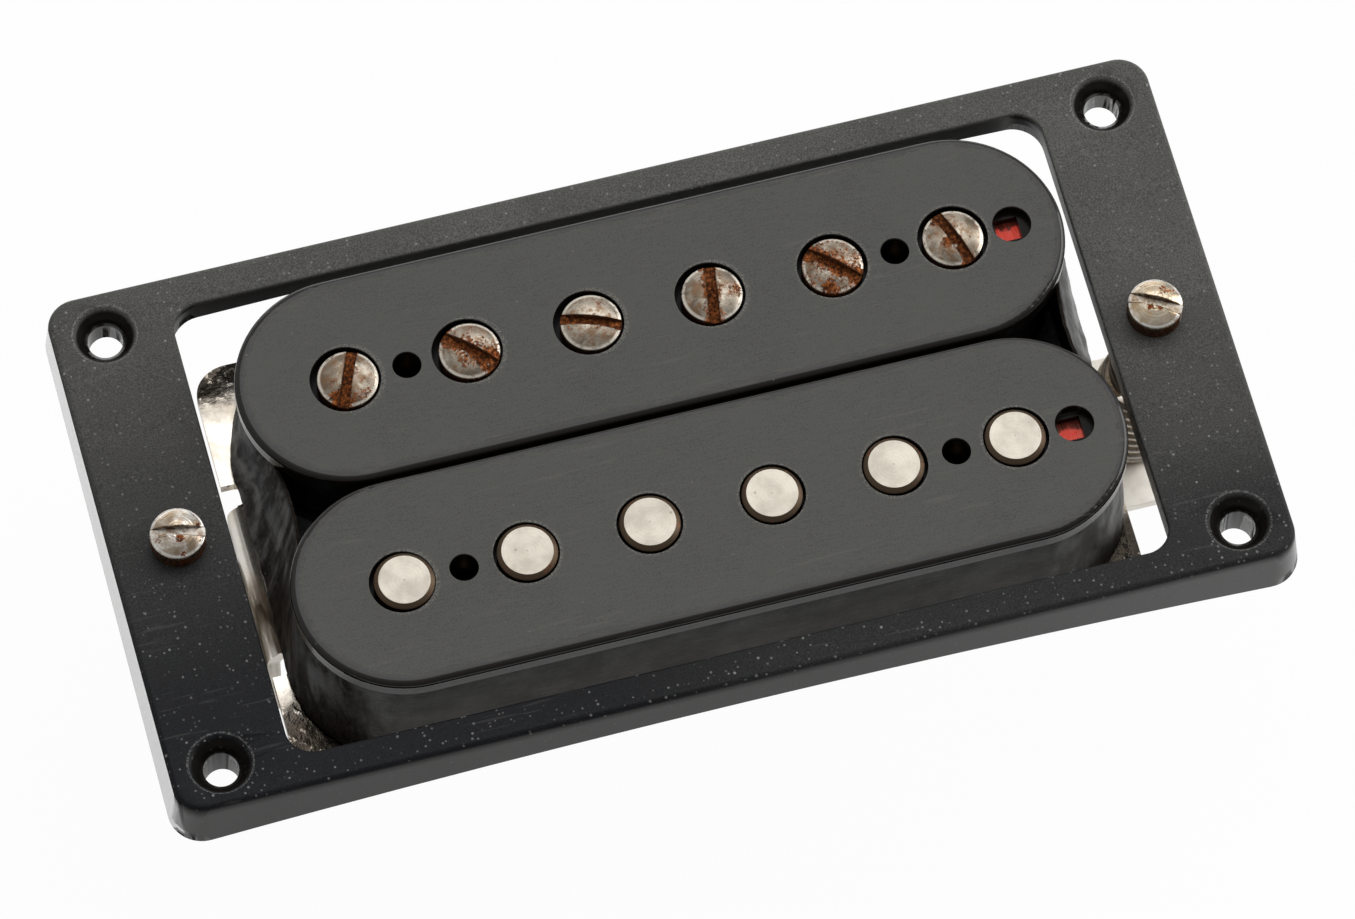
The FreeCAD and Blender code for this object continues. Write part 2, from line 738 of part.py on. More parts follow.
def main():
    os.makedirs("parts", exist_ok=True)
    write("mounting_ring", mounting_ring())
    write("baseplate", baseplate())
    write("keeper_bar", keeper_bar())
    write("bar_magnet", bar_magnet())
    write("wooden_spacer", wooden_spacer())
    write("bobbin_screws", bobbin_screws())
    write("screw_bobbin", screw_bobbin())
    write("slug_bobbin", slug_bobbin())
    write("screw_coil_winding", coil_winding(screw_row))
    write("slug_coil_winding", coil_winding(slug_row))
    write("screw_coil_tape", coil_tape(screw_row))
    write("slug_coil_tape", coil_tape(slug_row))
    write("outer_tape_wrap", outer_tape_wrap())
    for index in range(pole_count):
        write("pole_screw_" + str(index + 1), pole_screw(index))
        write("slug_" + str(index + 1), slug(index))
    write("height_screw_left", height_screw(-1, height_slot_angle_left))
    write("height_screw_right", height_screw(1, height_slot_angle_right))
    write("height_spring_left", height_spring(-1))
    write("height_spring_right", height_spring(1))


main()
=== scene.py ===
import bpy
import math
from mathutils import Matrix, Vector, noise


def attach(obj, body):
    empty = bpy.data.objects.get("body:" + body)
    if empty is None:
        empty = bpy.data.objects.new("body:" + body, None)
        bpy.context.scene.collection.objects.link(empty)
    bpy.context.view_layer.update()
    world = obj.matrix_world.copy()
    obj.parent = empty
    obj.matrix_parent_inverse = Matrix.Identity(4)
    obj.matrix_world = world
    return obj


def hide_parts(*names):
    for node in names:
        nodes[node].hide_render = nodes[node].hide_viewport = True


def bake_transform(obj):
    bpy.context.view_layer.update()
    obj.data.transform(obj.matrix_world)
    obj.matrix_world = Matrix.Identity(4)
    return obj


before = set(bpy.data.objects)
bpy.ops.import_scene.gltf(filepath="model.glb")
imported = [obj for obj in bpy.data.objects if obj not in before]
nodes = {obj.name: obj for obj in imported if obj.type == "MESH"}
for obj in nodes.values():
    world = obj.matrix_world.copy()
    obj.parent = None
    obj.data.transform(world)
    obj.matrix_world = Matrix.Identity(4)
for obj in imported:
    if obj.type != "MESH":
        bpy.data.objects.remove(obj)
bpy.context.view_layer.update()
mm = 0.001
print("frame loaded with", len(nodes), "nodes")


# Camera, floor and studio light. The picture is taken as 1355 by 919.

cameraSetup = {
    "place": (-0.090897, -0.297400, 0.662272),
    "right": (0.965837, -0.258561, 0.017480),
    "up": (0.227162, 0.877153, 0.423083),
    "lens": 247.96,
    "sensor": 36.0,
}


def makeCamera():
    bpy.ops.object.camera_add(location=cameraSetup["place"])
    camera = bpy.context.object
    camera.name = "photoCamera"
    right = Vector(cameraSetup["right"])
    up = Vector(cameraSetup["up"])
    camera.rotation_euler = Matrix((right, up, right.cross(up))).transposed().to_euler()
    camera.data.sensor_fit = "HORIZONTAL"
    camera.data.sensor_width = cameraSetup["sensor"]
    camera.data.lens = cameraSetup["lens"]
    camera.data.clip_start = 0.05
    camera.data.clip_end = 20
    bpy.context.scene.camera = camera


def feed(value, socket):
    if isinstance(value, bpy.types.NodeSocket):
        socket.id_data.links.new(value, socket)
    elif isinstance(value, tuple) and len(value) == 3 and socket.type == "RGBA":
        socket.default_value = (*value, 1)
    else:
        socket.default_value = value


def addNode(tree, kind, inputs=None, **settings):
    node = tree.nodes.new(kind)
    for key, value in settings.items():
        setattr(node, key, value)
    for key, value in (inputs or {}).items():
        feed(value, node.inputs[key])
    return node


# These find their node tree through the first socket that they are given.

def treeOf(*values):
    return next(value.id_data for value in values if isinstance(value, bpy.types.NodeSocket))


def number(operation, *values, clamp=False):
    node = addNode(treeOf(*values), "ShaderNodeMath", dict(enumerate(values)),
                   operation=operation, use_clamp=clamp)
    return node.outputs[0]


def chained(operation):
    def join(total, *others, clamp=False):
        for other in others:
            total = number(operation, total, other, clamp=clamp)
        return total
    return join


times, plus, minus = chained("MULTIPLY"), chained("ADD"), chained("SUBTRACT")
larger, smaller, remainder = chained("MAXIMUM"), chained("MINIMUM"), chained("FLOORED_MODULO")


def unsigned(value):
    return number("ABSOLUTE", value)


def diagonal(first, second):
    return number("SQRT", plus(times(first, first), times(second, second)))


def ramp(value, low, high, first=0.0, last=1.0):
    node = addNode(value.id_data, "ShaderNodeMapRange",
                   {"Value": value, "From Min": low, "From Max": high, "To Min": first,
                    "To Max": last}, interpolation_type="SMOOTHSTEP")
    return node.outputs[0]


def mixed(share, first, second, mode="MIX"):
    node = addNode(treeOf(share, first, second), "ShaderNodeMix",
                   {0: share, 6: first, 7: second}, data_type="RGBA", blend_type=mode)
    return node.outputs[2]


def separated(place):
    return addNode(place.id_data, "ShaderNodeSeparateXYZ", {0: place}).outputs


def combined(*values, kind="XYZ"):
    node = addNode(treeOf(*values), "ShaderNodeCombine" + kind, dict(enumerate(values)))
    return node.outputs[0]


def noiseOf(place, scale, detail=3.0, roughness=0.5, distortion=0.0):
    node = addNode(place.id_data, "ShaderNodeTexNoise",
                   {"Vector": place, "Scale": scale, "Detail": detail, "Roughness": roughness,
                    "Distortion": distortion})
    return node.outputs[0]


def mapped(place, **settings):
    return addNode(place.id_data, "ShaderNodeMapping", {"Vector": place, **settings}).outputs[0]


def turned(place, centre=(0, 0, 0), angle=0.0, scale=(1, 1, 1)):
    shifted = mapped(place, Location=tuple(-v for v in centre))
    return mapped(shifted, Scale=scale, Rotation=(0, 0, -math.radians(angle)))


def bumped(height, strength, distance, **before):
    node = addNode(height.id_data, "ShaderNodeBump",
                   {"Height": height, "Strength": strength, "Distance": distance, **before})
    return node.outputs[0]


def startMaterial(name):
    material = bpy.data.materials.new(name)
    material.use_nodes = True
    tree = material.node_tree
    tree.nodes.clear()
    output = tree.nodes.new("ShaderNodeOutputMaterial")
    shader = tree.nodes.new("ShaderNodeBsdfPrincipled")
    feed(shader.outputs[0], output.inputs["Surface"])
    return material, shader, tree.nodes.new("ShaderNodeTexCoord").outputs["Object"]


def finishShader(shader, **values):
    for key, value in values.items():
        feed(value, shader.inputs[key.replace("_", " ")])


def dress(piece, material):
    piece.data.materials.clear()
    piece.data.materials.append(material)


studio = {
    "floorHeight": -26.2 * mm,
    "floorSize": 3.0,
    "floorShine": 0.965,        # share of plain white that the camera sees in place of shadow
    "mirroredShine": 0.45,      # the same share for what glossy pieces mirror
    "floorTones": ((0.90, 0.90, 0.895), (0.93, 0.93, 0.925)),
    "domeStrength": 0.52,
    "horizonStrength": 1.1,     # a brighter band low behind the object, for its far rims
    "keyPlace": (0.22, 0.46, 0.86),
    "keySize": 0.80,
    "keyPower": 2.5,
    "sidePlace": (0.85, 0.12, 0.40),
    "sideSize": 0.60,
    "sidePower": 3.6,
}


def makeFloor():
    bpy.ops.mesh.primitive_plane_add(size=studio["floorSize"],
                                     location=(0, 0, studio["floorHeight"]))
    floor = bpy.context.object
    floor.name = "paleFloor"
    material, shader, place = startMaterial("palePaper")
    tree = material.node_tree
    tone = mixed(ramp(noiseOf(place, 40.0, 4.0), 0.3, 0.7), *studio["floorTones"])
    finishShader(shader, Base_Color=tone, Roughness=0.9)
    rays = tree.nodes.new("ShaderNodeLightPath")
    glowing = larger(times(rays.outputs["Is Camera Ray"], studio["floorShine"]),
                     times(rays.outputs["Is Glossy Ray"], studio["mirroredShine"]))
    glow = addNode(tree, "ShaderNodeEmission", {"Color": (1, 1, 1), "Strength": 1.0})
    blend = addNode(tree, "ShaderNodeMixShader",
                    {0: glowing, 1: shader.outputs[0], 2: glow.outputs[0]})
    output = [node for node in tree.nodes if node.type == "OUTPUT_MATERIAL"][0]
    feed(blend.outputs[0], output.inputs["Surface"])
    dress(floor, material)


def makeLamp(name, place, size, power):
    bpy.ops.object.light_add(type="AREA", location=place)
    lamp = bpy.context.object
    lamp.name = name
    lamp.data.shape = "SQUARE"
    lamp.data.size = size
    lamp.data.energy = power
    lamp.rotation_euler = (-Vector(place)).to_track_quat("-Z", "Y").to_euler()
    lamp.visible_camera = False
    return lamp


def makeWorld():
    world = bpy.data.worlds.new("studioDome")
    world.use_nodes = True
    tree = world.node_tree
    tree.nodes.clear()
    output = tree.nodes.new("ShaderNodeOutputWorld")
    rays = tree.nodes.new("ShaderNodeLightPath")
    x, y, z = separated(tree.nodes.new("ShaderNodeTexCoord").outputs["Generated"])
    dim = times(ramp(z, -0.1, 0.75, 0.55, 1.0), ramp(y, -0.9, 0.7, 0.45, 1.15),
                studio["domeStrength"])
    horizon = times(ramp(y, 0.78, 0.97), ramp(z, 0.45, 0.12, 0.0, studio["horizonStrength"]))
    dome, white = [addNode(tree, "ShaderNodeBackground", {"Color": (1, 1, 1), "Strength": power})
                   for power in (plus(dim, horizon), 1.0)]
    blend = addNode(tree, "ShaderNodeMixShader", {0: rays.outputs["Is Camera Ray"],
                                                  1: dome.outputs[0], 2: white.outputs[0]})
    feed(blend.outputs[0], output.inputs["Surface"])
    bpy.context.scene.world = world


makeCamera()
makeFloor()
makeWorld()
makeLamp("keyLamp", studio["keyPlace"], studio["keySize"], studio["keyPower"])
makeLamp("sideLamp", studio["sidePlace"], studio["sideSize"], studio["sidePower"])
bpy.context.scene.view_settings.view_transform = "Standard"
print("camera, floor and light made")


# Hand tools. An operator works on all that is selected, so each starts from nothing selected.

def pick(piece):
    if bpy.context.object and bpy.context.object.mode != "OBJECT":
        bpy.ops.object.mode_set(mode="OBJECT")
    bpy.ops.object.select_all(action="DESELECT")
    piece.select_set(True)
    bpy.context.view_layer.objects.active = piece


def edit(piece, action="SELECT", kind="VERT"):
    pick(piece)
    bpy.ops.object.mode_set(mode="EDIT")
    bpy.ops.mesh.select_mode(type=kind)
    bpy.ops.mesh.select_all(action=action)


def leaveEdit():
    bpy.ops.object.mode_set(mode="OBJECT")


def joinDoubles(piece, reach=0.0005 * mm):
    edit(piece)
    bpy.ops.mesh.remove_doubles(threshold=reach)
    bpy.ops.mesh.normals_make_consistent(inside=False)
    leaveEdit()


def smoothByAngle(piece, degrees=35):
    pick(piece)
    bpy.ops.object.shade_smooth_by_angle(angle=math.radians(degrees))


def modify(piece, kind, **settings):
    modifier = piece.modifiers.new(kind.lower(), kind)
    for key, value in settings.items():
        setattr(modifier, key, value)
    pick(piece)
    bpy.ops.object.modifier_apply(modifier=modifier.name)


def settle(piece):
    pick(piece)
    bpy.ops.object.transform_apply(location=True, rotation=True, scale=True)


def copyPiece(piece, name, move=(0, 0, 0)):
    twin = piece.copy()
    twin.data = piece.data.copy()
    twin.name = name
    bpy.context.scene.collection.objects.link(twin)
    for vertex in twin.data.vertices:
        vertex.co += Vector(move)
    return twin


def finishNode(name, material):
    for slot in nodes[name].material_slots:
        slot.material = material


def handOver(piece, finish, body, replaced):
    dress(piece, finish)
    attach(piece, body)
    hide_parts(replaced)


def within(value, low=0.0, high=1.0):
    return min(high, max(low, value))


# One vertex is drawn out along the points. It ends in edit mode.

def drawLine(name, points):
    bpy.ops.object.select_all(action="DESELECT")
    bpy.ops.mesh.primitive_plane_add(size=mm)
    piece = bpy.context.object
    piece.name = name
    edit(piece)
    bpy.ops.mesh.merge(type="CENTER")
    before = Vector(points[0])
    bpy.ops.transform.translate(value=before)
    for point in points[1:]:
        after = Vector(point)
        bpy.ops.mesh.extrude_region_move(TRANSFORM_OT_translate={"value": after - before})
        before = after
    return piece


# A profile of radius and height pairs is spun about the upright line.

def spinProfile(name, points, steps, centre):
    x, y = centre
    piece = drawLine(name, [(x + radius, y, height) for radius, height in points])
    bpy.ops.mesh.select_all(action="SELECT")
    bpy.ops.mesh.spin(steps=steps, angle=2 * math.pi, center=(x, y, 0), axis=(0, 0, 1))
    leaveEdit()
    joinDoubles(piece)
    return piece


# A thread: one pitch of its outline is screwed round and down, then cut flat at both ends.
# The outline goes by share of the depth and share of the pitch.

threadOutline = ((0, 0), (0.08, 0.10), (1, 0.46), (1, 0.56), (0.08, 0.92), (0, 1))


def threadedShank(name, centre, top, shank, steps):
    x, y = centre
    pitch, bottom = shank["pitch"], shank["tip"]
    piece = drawLine(name, [(shank["radius"] - inward * shank["depth"], 0, -share * pitch)
                            for inward, share in threadOutline])
    leaveEdit()
    modify(piece, "SCREW", angle=2 * math.pi, screw_offset=-pitch,
           iterations=math.ceil((top - bottom) / pitch) + 3, steps=steps, render_steps=steps,
           use_merge_vertices=True, merge_threshold=0.0005 * mm)
    for vertex in piece.data.vertices:
        vertex.co += Vector((x, y, top + 1.5 * pitch))
    joinDoubles(piece, 0.001 * mm)
    for height, lower, upper in ((top, False, True), (bottom, True, False)):
        edit(piece)
        bpy.ops.mesh.bisect(plane_co=(x, y, height), plane_no=(0, 0, 1), use_fill=True,
                            clear_inner=lower, clear_outer=upper)
    leaveEdit()
    joinDoubles(piece)
    return piece


def cutWith(piece, tool):
    modify(piece, "BOOLEAN", operation="DIFFERENCE", solver="EXACT", object=tool)
    bpy.data.objects.remove(tool)


# Shader groups that several finishes share.

def startGroup(name, inputs, outputs):
    tree = bpy.data.node_groups.new(name, "ShaderNodeTree")
    for title, value in inputs.items():
        kind = "Vector" if value is None else "Float"
        socket = tree.interface.new_socket(name=title, in_out="INPUT",
                                           socket_type="NodeSocket" + kind)
        if value is not None:
            socket.default_value = value
    for title in outputs:
        kind = "Color" if title == "Color" else "Float"
        tree.interface.new_socket(name=title, in_out="OUTPUT", socket_type="NodeSocket" + kind)
    given, made = tree.nodes.new("NodeGroupInput"), tree.nodes.new("NodeGroupOutput")
    return tree, given.outputs[:len(inputs)], made.inputs


def makeSpeckGroup():
    tree, (place, scale, share, size), made = startGroup(
        "dustSpecks", {"Vector": None, "Scale": 1000.0, "Share": 0.2, "Size": 0.2}, ["Mask"])
    cells = addNode(tree, "ShaderNodeTexVoronoi", {"Vector": place, "Scale": scale}).outputs
    own = addNode(tree, "ShaderNodeSeparateColor", {0: cells["Color"]}).outputs
    chosen = number("LESS_THAN", own[0], share)
    reach = times(size, ramp(own[1], 0.0, 1.0, 0.35, 1.0))
    spot = times(minus(reach, cells["Distance"]), 9.0, clamp=True)
    feed(times(spot, ramp(own[2], 0.0, 1.0, 0.2, 1.0), chosen), made[0])
    return tree


def makeScratchGroup():
    tree, (place, scale, level), made = startGroup(
        "hairScratches", {"Vector": None, "Scale": 150.0, "Level": 0.66}, ["Mask"])
    hairs = []
    for angle in (17.0, -28.0, 52.0, 84.0):
        streak = noiseOf(turned(place, angle=angle, scale=(1.0, 15.0, 1.0)), scale, 2.0, 0.55)
        where = noiseOf(turned(place, (angle * mm, 0, 0)), 70.0, 1.0)
        hairs.append(times(ramp(streak, level, plus(level, 0.05)), ramp(where, 0.50, 0.62)))
    feed(larger(*hairs), made[0])
    return tree


rustTones = ((0.060, 0.020, 0.008), (0.30, 0.085, 0.022), (0.62, 0.22, 0.070))


def makeRustGroup():
    tree, (place, scale, cover), made = startGroup(
        "rustBloom", {"Vector": None, "Scale": 1200.0, "Cover": 0.5}, ["Color", "Mask", "Height"])
    coarse = noiseOf(place, scale, 4.0, 0.65, 0.4)
    fine = noiseOf(place, times(scale, 4.5), 3.0, 0.7)
    grain = plus(times(coarse, 0.45), times(fine, 0.55))
    edge = minus(1.0, cover)
    mask = ramp(grain, minus(edge, 0.06), plus(edge, 0.06))
    other = noiseOf(turned(place, (0.003, 0.007, 0)), times(scale, 3.2), 3.0, 0.7)
    dark = mixed(ramp(other, 0.38, 0.58), *rustTones[:2])
    feed(mixed(ramp(other, 0.54, 0.72), dark, rustTones[2]), made[0])
    feed(mask, made[1])
    feed(times(mask, fine), made[2])
    return tree


speckGroup = makeSpeckGroup()
scratchGroup = makeScratchGroup()
rustGroup = makeRustGroup()


def grouped(group, **inputs):
    return addNode(treeOf(*inputs.values()), "ShaderNodeGroup", inputs, node_tree=group).outputs


def specksOf(place, scale, share, size):
    return grouped(speckGroup, Vector=place, Scale=scale, Share=share, Size=size)[0]


def rustOf(place, scale, cover):
    return grouped(rustGroup, Vector=place, Scale=scale, Cover=cover)


# The mounting ring: glossy black walls, its top under a film of dust that thins to the near left;
# that film also holds a painted light gradient, lighter towards the far side.

ringFinish = {
    "bare": (0.0095, 0.0102, 0.0125), "dustAndSheen": (0.108, 0.106, 0.099),
    "wall": (0.0075, 0.0062, 0.0050), "speck": (0.62, 0.62, 0.59),
    # specks of three sizes: cells to the metre, share of cells with one, size in its cell
    "small": (2500.0, 0.42, 0.32), "medium": (1150.0, 0.75, 0.17), "large": (520.0, 0.55, 0.085),
    "scratches": (150.0, 0.66),
    "topMiddle": 2.9 * mm, "topSlope": -0.02603,
    "holeX": 40.75 * mm, "holeY": 19.1 * mm, "holeRim": 2.55 * mm,
    # the outer left wall mirrors something pale: a bump tilts it, and the reflection is painted as
    # a pale sheen colour and a glow at grazing angles
    "leftWallX": -44.7 * mm, "leftWallTilt": 0.15, "paintedSheen": (0.74, 0.76, 0.75), "glow": 0.27,
}


# Share of the dusty tone: dust, and a painted light gradient that grows lighter towards the far
# side.
def dustFilm(x, y):
    toFar = ramp(y, -17 * mm, 24 * mm, 0.04, 0.90)
    beside = minus(ramp(y, -20 * mm, -9 * mm, 0.0, 0.54), ramp(y, 5 * mm, 20 * mm, 0.0, 0.22))
    near = times(ramp(x, -14 * mm, 10 * mm, 0.0, 0.16), ramp(y, -9 * mm, -20 * mm))
    return smaller(plus(toFar, times(ramp(x, -42 * mm, 42 * mm), beside), near), 1.08)


def makeRingPlastic():
    material, shader, place = startMaterial("ringPlastic")
    look = ringFinish
    x, y, z = separated(place)
    fromX, fromY = unsigned(x), unsigned(y)
    depth = minus(plus(times(y, look["topSlope"]), look["topMiddle"]), z)
    wall = ramp(depth, 0.12 * mm, 0.50 * mm)
    film = dustFilm(x, y)
    cloud = noiseOf(place, 110.0, 5.0, 0.65)
    grain = noiseOf(place, 8200.0, 2.0, 0.75)
    uneven = times(ramp(cloud, 0.3, 0.7, 0.88, 1.10), ramp(grain, 0.30, 0.70, 0.55, 1.45))
    tone = mixed(film, look["bare"], look["dustAndSheen"])
    tone = mixed(1.0, tone, combined(uneven, uneven, uneven, kind="Color"), "MULTIPLY")
    tone = mixed(wall, tone, look["wall"])
    # dust, scratches and the worn rims of the corner holes
    small, medium, large = [specksOf(place, *look[size]) for size in ("small", "medium", "large")]
    lines = grouped(scratchGroup, Vector=place, Scale=look["scratches"][0],
                    Level=look["scratches"][1])[0]
    away = diagonal(minus(fromX, look["holeX"]), minus(fromY, look["holeY"]))
    rim = times(ramp(unsigned(minus(away, look["holeRim"])), 0.13 * mm, 0.03 * mm),
                ramp(grain, 0.42, 0.60, 0.0, 0.30))
    marks = larger(times(small, ramp(film, 0.0, 0.6, 0.46, 0.26)), large, times(medium, 0.62),
                   times(lines, 0.045), rim)
    marks = times(marks, ramp(wall, 0.0, 1.0, 0.80, 0.10))
    tone = mixed(marks, tone, look["speck"])
    rough = plus(ramp(cloud, 0.3, 0.7, 0.36, 0.46), times(marks, 0.3))
    outside = larger(ramp(fromX, 37 * mm, 38 * mm), ramp(fromY, 21.2 * mm, 21.8 * mm))
    gloss = times(ramp(outside, 0.0, 1.0, 0.15, 1.0), ramp(depth, 0.35 * mm, 1.2 * mm, 0.22, 0.72),
                  ramp(x, -5 * mm, 42 * mm, 1.0, 1.38))
    height = plus(times(grain, 0.5), marks)
    leftWall = times(ramp(x, look["leftWallX"] + 0.3 * mm, look["leftWallX"]), wall)
    tilted = bumped(times(z, leftWall), 1.0, look["leftWallTilt"])
    grazing = addNode(material.node_tree, "ShaderNodeLayerWeight", {"Blend": 0.5})
    # painted reflection: at grazing angles the left wall's colour turns pale, and it glows a little
    paintedSheen = times(leftWall, ramp(grazing.outputs["Facing"], 0.66, 0.80))
    glow = times(paintedSheen, look["glow"])
    finishShader(shader, Base_Color=mixed(paintedSheen, tone, look["paintedSheen"]),
                 Roughness=minus(rough, times(leftWall, 0.25)), IOR=1.2,
                 Emission_Color=combined(glow, glow, glow, kind="Color"), Emission_Strength=1.0,
                 Coat_Weight=times(wall, gloss), Coat_Roughness=0.16, Coat_Normal=tilted,
                 Normal=bumped(height, 0.20, 0.02 * mm, Normal=tilted))
    return material


# The ring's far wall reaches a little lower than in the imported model, and its window is a hair
# smaller. Only the points of its underside and of its window's walls are moved.

ringShape = {
    "archRadius": 580 * mm, "archMiddle": 0.65 * mm, "archTilt": 0.01735, "archReach": 0.12 * mm,
    "farDrop": 0.64 * mm, "dropFrom": -20 * mm, "dropTo": 20 * mm,
    "windowX": 36.3 * mm, "windowY": 20.7 * mm, "shareX": 35.35 / 35.45, "shareFarY": 19.85 / 20.0,
    "topRim": 1.9 * mm,
}


def copyOfNode(name, title):
    twin = copyPiece(nodes[name], title)
    joinDoubles(twin)
    return twin


def evenNormals(piece):
    modify(piece, "WEIGHTED_NORMAL", keep_sharp=True)


def makeRing():
    ring = copyOfNode("mounting_ring", "mountingRing")
    shape = ringShape
    for vertex in ring.data.vertices:
        x, y, z = vertex.co
        arch = shape["archMiddle"] + shape["archTilt"] * y - x * x / (2 * shape["archRadius"])
        share = (y - shape["dropFrom"]) / (shape["dropTo"] - shape["dropFrom"])
        if abs(z - arch) < shape["archReach"]:
            vertex.co.z -= shape["farDrop"] * within(share)
        if abs(x) < shape["windowX"] and abs(y) < shape["windowY"]:
            vertex.co.x *= shape["shareX"]
            vertex.co.y *= shape["shareFarY"] if y > 0 else 1.0
            if z > shape["topRim"]:
                vertex.co.z += ringFinish["topSlope"] * (vertex.co.y - y)
    smoothByAngle(ring, 30)
    evenNormals(ring)
    handOver(ring, makeRingPlastic(), "ring", "mounting_ring")


makeRing()
print("ring made")


# The bobbins: their flat tops are rubbed matt and grey, the rims stay glossy and deep black.

bobbinFinish = {
    "deep": (0.0080, 0.0062, 0.0050), "rubbed": (0.118, 0.117, 0.109),
    "speck": (0.42, 0.40, 0.35), "specks": (1300.0, 0.12, 0.16),
    "rowY": 8.95 * mm, "middle": 0.9 * mm, "reach": 24.55 * mm,
    "rubbedRadius": 8.05 * mm, "rubbedShift": 0.11 * mm, "rubbedEdge": 0.22 * mm,
    "firstX": -23.6 * mm, "pitch": 9.8 * mm, "screwHole": 2.80 * mm, "slugHole": 2.60 * mm,
}


def fromNearest(value, first, pitch):
    shifted = minus(value, first - pitch / 2)
    return minus(remainder(shifted, pitch), pitch / 2)


def makeBobbinPlastic():
    material, shader, place = startMaterial("bobbinPlastic")
    look = bobbinFinish
    x, y, z = separated(place)
    shift, radius, edge = look["rubbedShift"], look["rubbedRadius"], look["rubbedEdge"]
    along = minus(unsigned(minus(x, look["middle"] + shift)), look["reach"])
    distance = diagonal(larger(along, 0.0), minus(unsigned(minus(y, shift)), look["rowY"]))
    cloud = noiseOf(place, 150.0, 5.0, 0.6)
    feather = noiseOf(turned(place, angle=24.0, scale=(1.0, 3.5, 1.0)), 420.0, 4.0, 0.7)
    frayed = plus(distance, times(minus(feather, 0.5), 0.9 * mm))
    rubbed = times(ramp(frayed, radius + edge, radius - edge), ramp(z, 5.62 * mm, 5.86 * mm))
    grain = noiseOf(place, 7600.0, 3.0, 0.75)
    brushed = noiseOf(turned(place, angle=-24.0, scale=(1.0, 9.0, 1.0)), 700.0, 3.0)
    film = times(rubbed, ramp(cloud, 0.2, 0.75, 0.88, 1.06), ramp(grain, 0.3, 0.7, 0.74, 1.26),
                 ramp(brushed, 0.3, 0.7, 0.92, 1.08))
    tone = mixed(film, look["deep"], look["rubbed"])
    # worn rims round the pole holes, and dust and scratches
    away = diagonal(fromNearest(x, look["firstX"], look["pitch"]),
                    minus(unsigned(y), look["rowY"]))
    hole = ramp(y, -1 * mm, 1 * mm, look["slugHole"], look["screwHole"])
    rim = times(ramp(unsigned(minus(away, hole)), 0.28 * mm, 0.05 * mm),
                ramp(grain, 0.46, 0.64, 0.0, 0.45),
                ramp(unsigned(minus(x, look["middle"])), 29.2 * mm, 28.4 * mm))
    lines = grouped(scratchGroup, Vector=place, Scale=120.0, Level=0.66)[0]
    marks = larger(times(specksOf(place, *look["specks"]), 0.6), times(lines, 0.10))
    marks = larger(times(marks, 0.5), times(rim, rubbed))
    rough = plus(ramp(rubbed, 0.0, 1.0, 0.24, 0.55), ramp(cloud, 0.3, 0.7, -0.03, 0.05))
    coat = times(ramp(distance, 7.70 * mm, radius), ramp(z, 5.10 * mm, 5.50 * mm, 0.40, 0.75),
                 ramp(rubbed, 0.0, 1.0, 1.0, 0.0))
    finishShader(shader, Base_Color=mixed(marks, tone, look["speck"]), Roughness=rough, IOR=1.20,
                 Coat_Weight=coat, Coat_Roughness=0.10,
                 Normal=bumped(plus(times(grain, 0.5), marks), 0.22, 0.02 * mm))
    return material


bobbinPlastic = makeBobbinPlastic()
finishNode("screw_bobbin", bobbinPlastic)
finishNode("slug_bobbin", bobbinPlastic)


# The slugs: turned faces in pale nickel, browner on their chamfers.

slugFinish = {
    "face": (0.54, 0.505, 0.435), "shade": (0.46, 0.42, 0.355), "side": (0.17, 0.12, 0.08),
    "pit": (0.20, 0.14, 0.09), "pip": (0.25, 0.20, 0.15), "below": (0.012, 0.008, 0.005),
    "firstX": -23.6 * mm, "pitch": 9.8 * mm, "rowY": -8.95 * mm, "topZ": 6.25 * mm,
    "turning": 0.30 * mm,
}


def makeSlugSteel():
    material, shader, place = startMaterial("slugSteel")
    look = slugFinish
    x, y, z = separated(place)
    pitch = look["pitch"]
    shifted = plus(x, pitch / 2 - look["firstX"])
    local = minus(remainder(shifted, pitch), pitch / 2)
    index = number("FLOOR", number("DIVIDE", shifted, pitch))
    across = minus(y, look["rowY"])
    away = diagonal(local, across)
    own = combined(local, across, times(index, 0.013))
    blotch = noiseOf(own, 420.0, 4.0, 0.6)
    wobble = times(minus(blotch, 0.5), 0.16 * mm)
    rings = number("SINE", times(plus(away, wobble), 2 * math.pi / look["turning"]))
    top = times(ramp(away, 2.05 * mm, 2.01 * mm),
                ramp(z, look["topZ"] - 0.09 * mm, look["topZ"] - 0.02 * mm))
    face = mixed(ramp(blotch, 0.35, 0.72), look["face"], look["shade"])
    face = mixed(ramp(rings, 0.3, 1.0, 0.0, 0.22), face, look["shade"])
    face = mixed(times(specksOf(own, 2300.0, 0.03, 0.35), 0.5), face, look["pit"])
    face = mixed(times(ramp(away, 0.10 * mm, 0.04 * mm), 0.5), face, look["pip"])
    rust = rustOf(own, 900.0, 0.40)
    side = mixed(rust["Mask"], look["side"], rust["Color"])
    # painted shade: the side turns near black down inside the bobbin's hole
    side = mixed(ramp(z, 6.02 * mm, 5.78 * mm, 0.0, 0.93), side, look["below"])
    rough = plus(ramp(top, 0.0, 1.0, 0.48, 0.36), ramp(blotch, 0.3, 0.7, -0.04, 0.08))
    metal = minus(1.0, times(rust["Mask"], ramp(top, 0.0, 1.0, 0.7, 0.0)))
    finishShader(shader, Base_Color=mixed(top, side, face), Roughness=rough, Metallic=metal,
                 Normal=bumped(times(rings, 0.5), 0.20, 0.01 * mm))
    return material


slugSteel = makeSlugSteel()
for index in range(1, 7):
    finishNode("slug_" + str(index), slugSteel)


# Screws with slotted, domed heads. Each finish is centred on its screw and turned to its slot.

screwTones = {
    "below": (0.030, 0.019, 0.012), "rustInPaintedShade": (0.022, 0.011, 0.007),
    # slot: a painted reflection in two tones for the slot's floor
    "dirt": (0.042, 0.017, 0.008), "slot": ((0.86, 0.83, 0.77), (0.40, 0.27, 0.17)),
    "waxAndShade": (0.72, 0.69, 0.63), "slotEdgeShade": (0.060, 0.034, 0.019), "turning": 0.26 * mm,
}


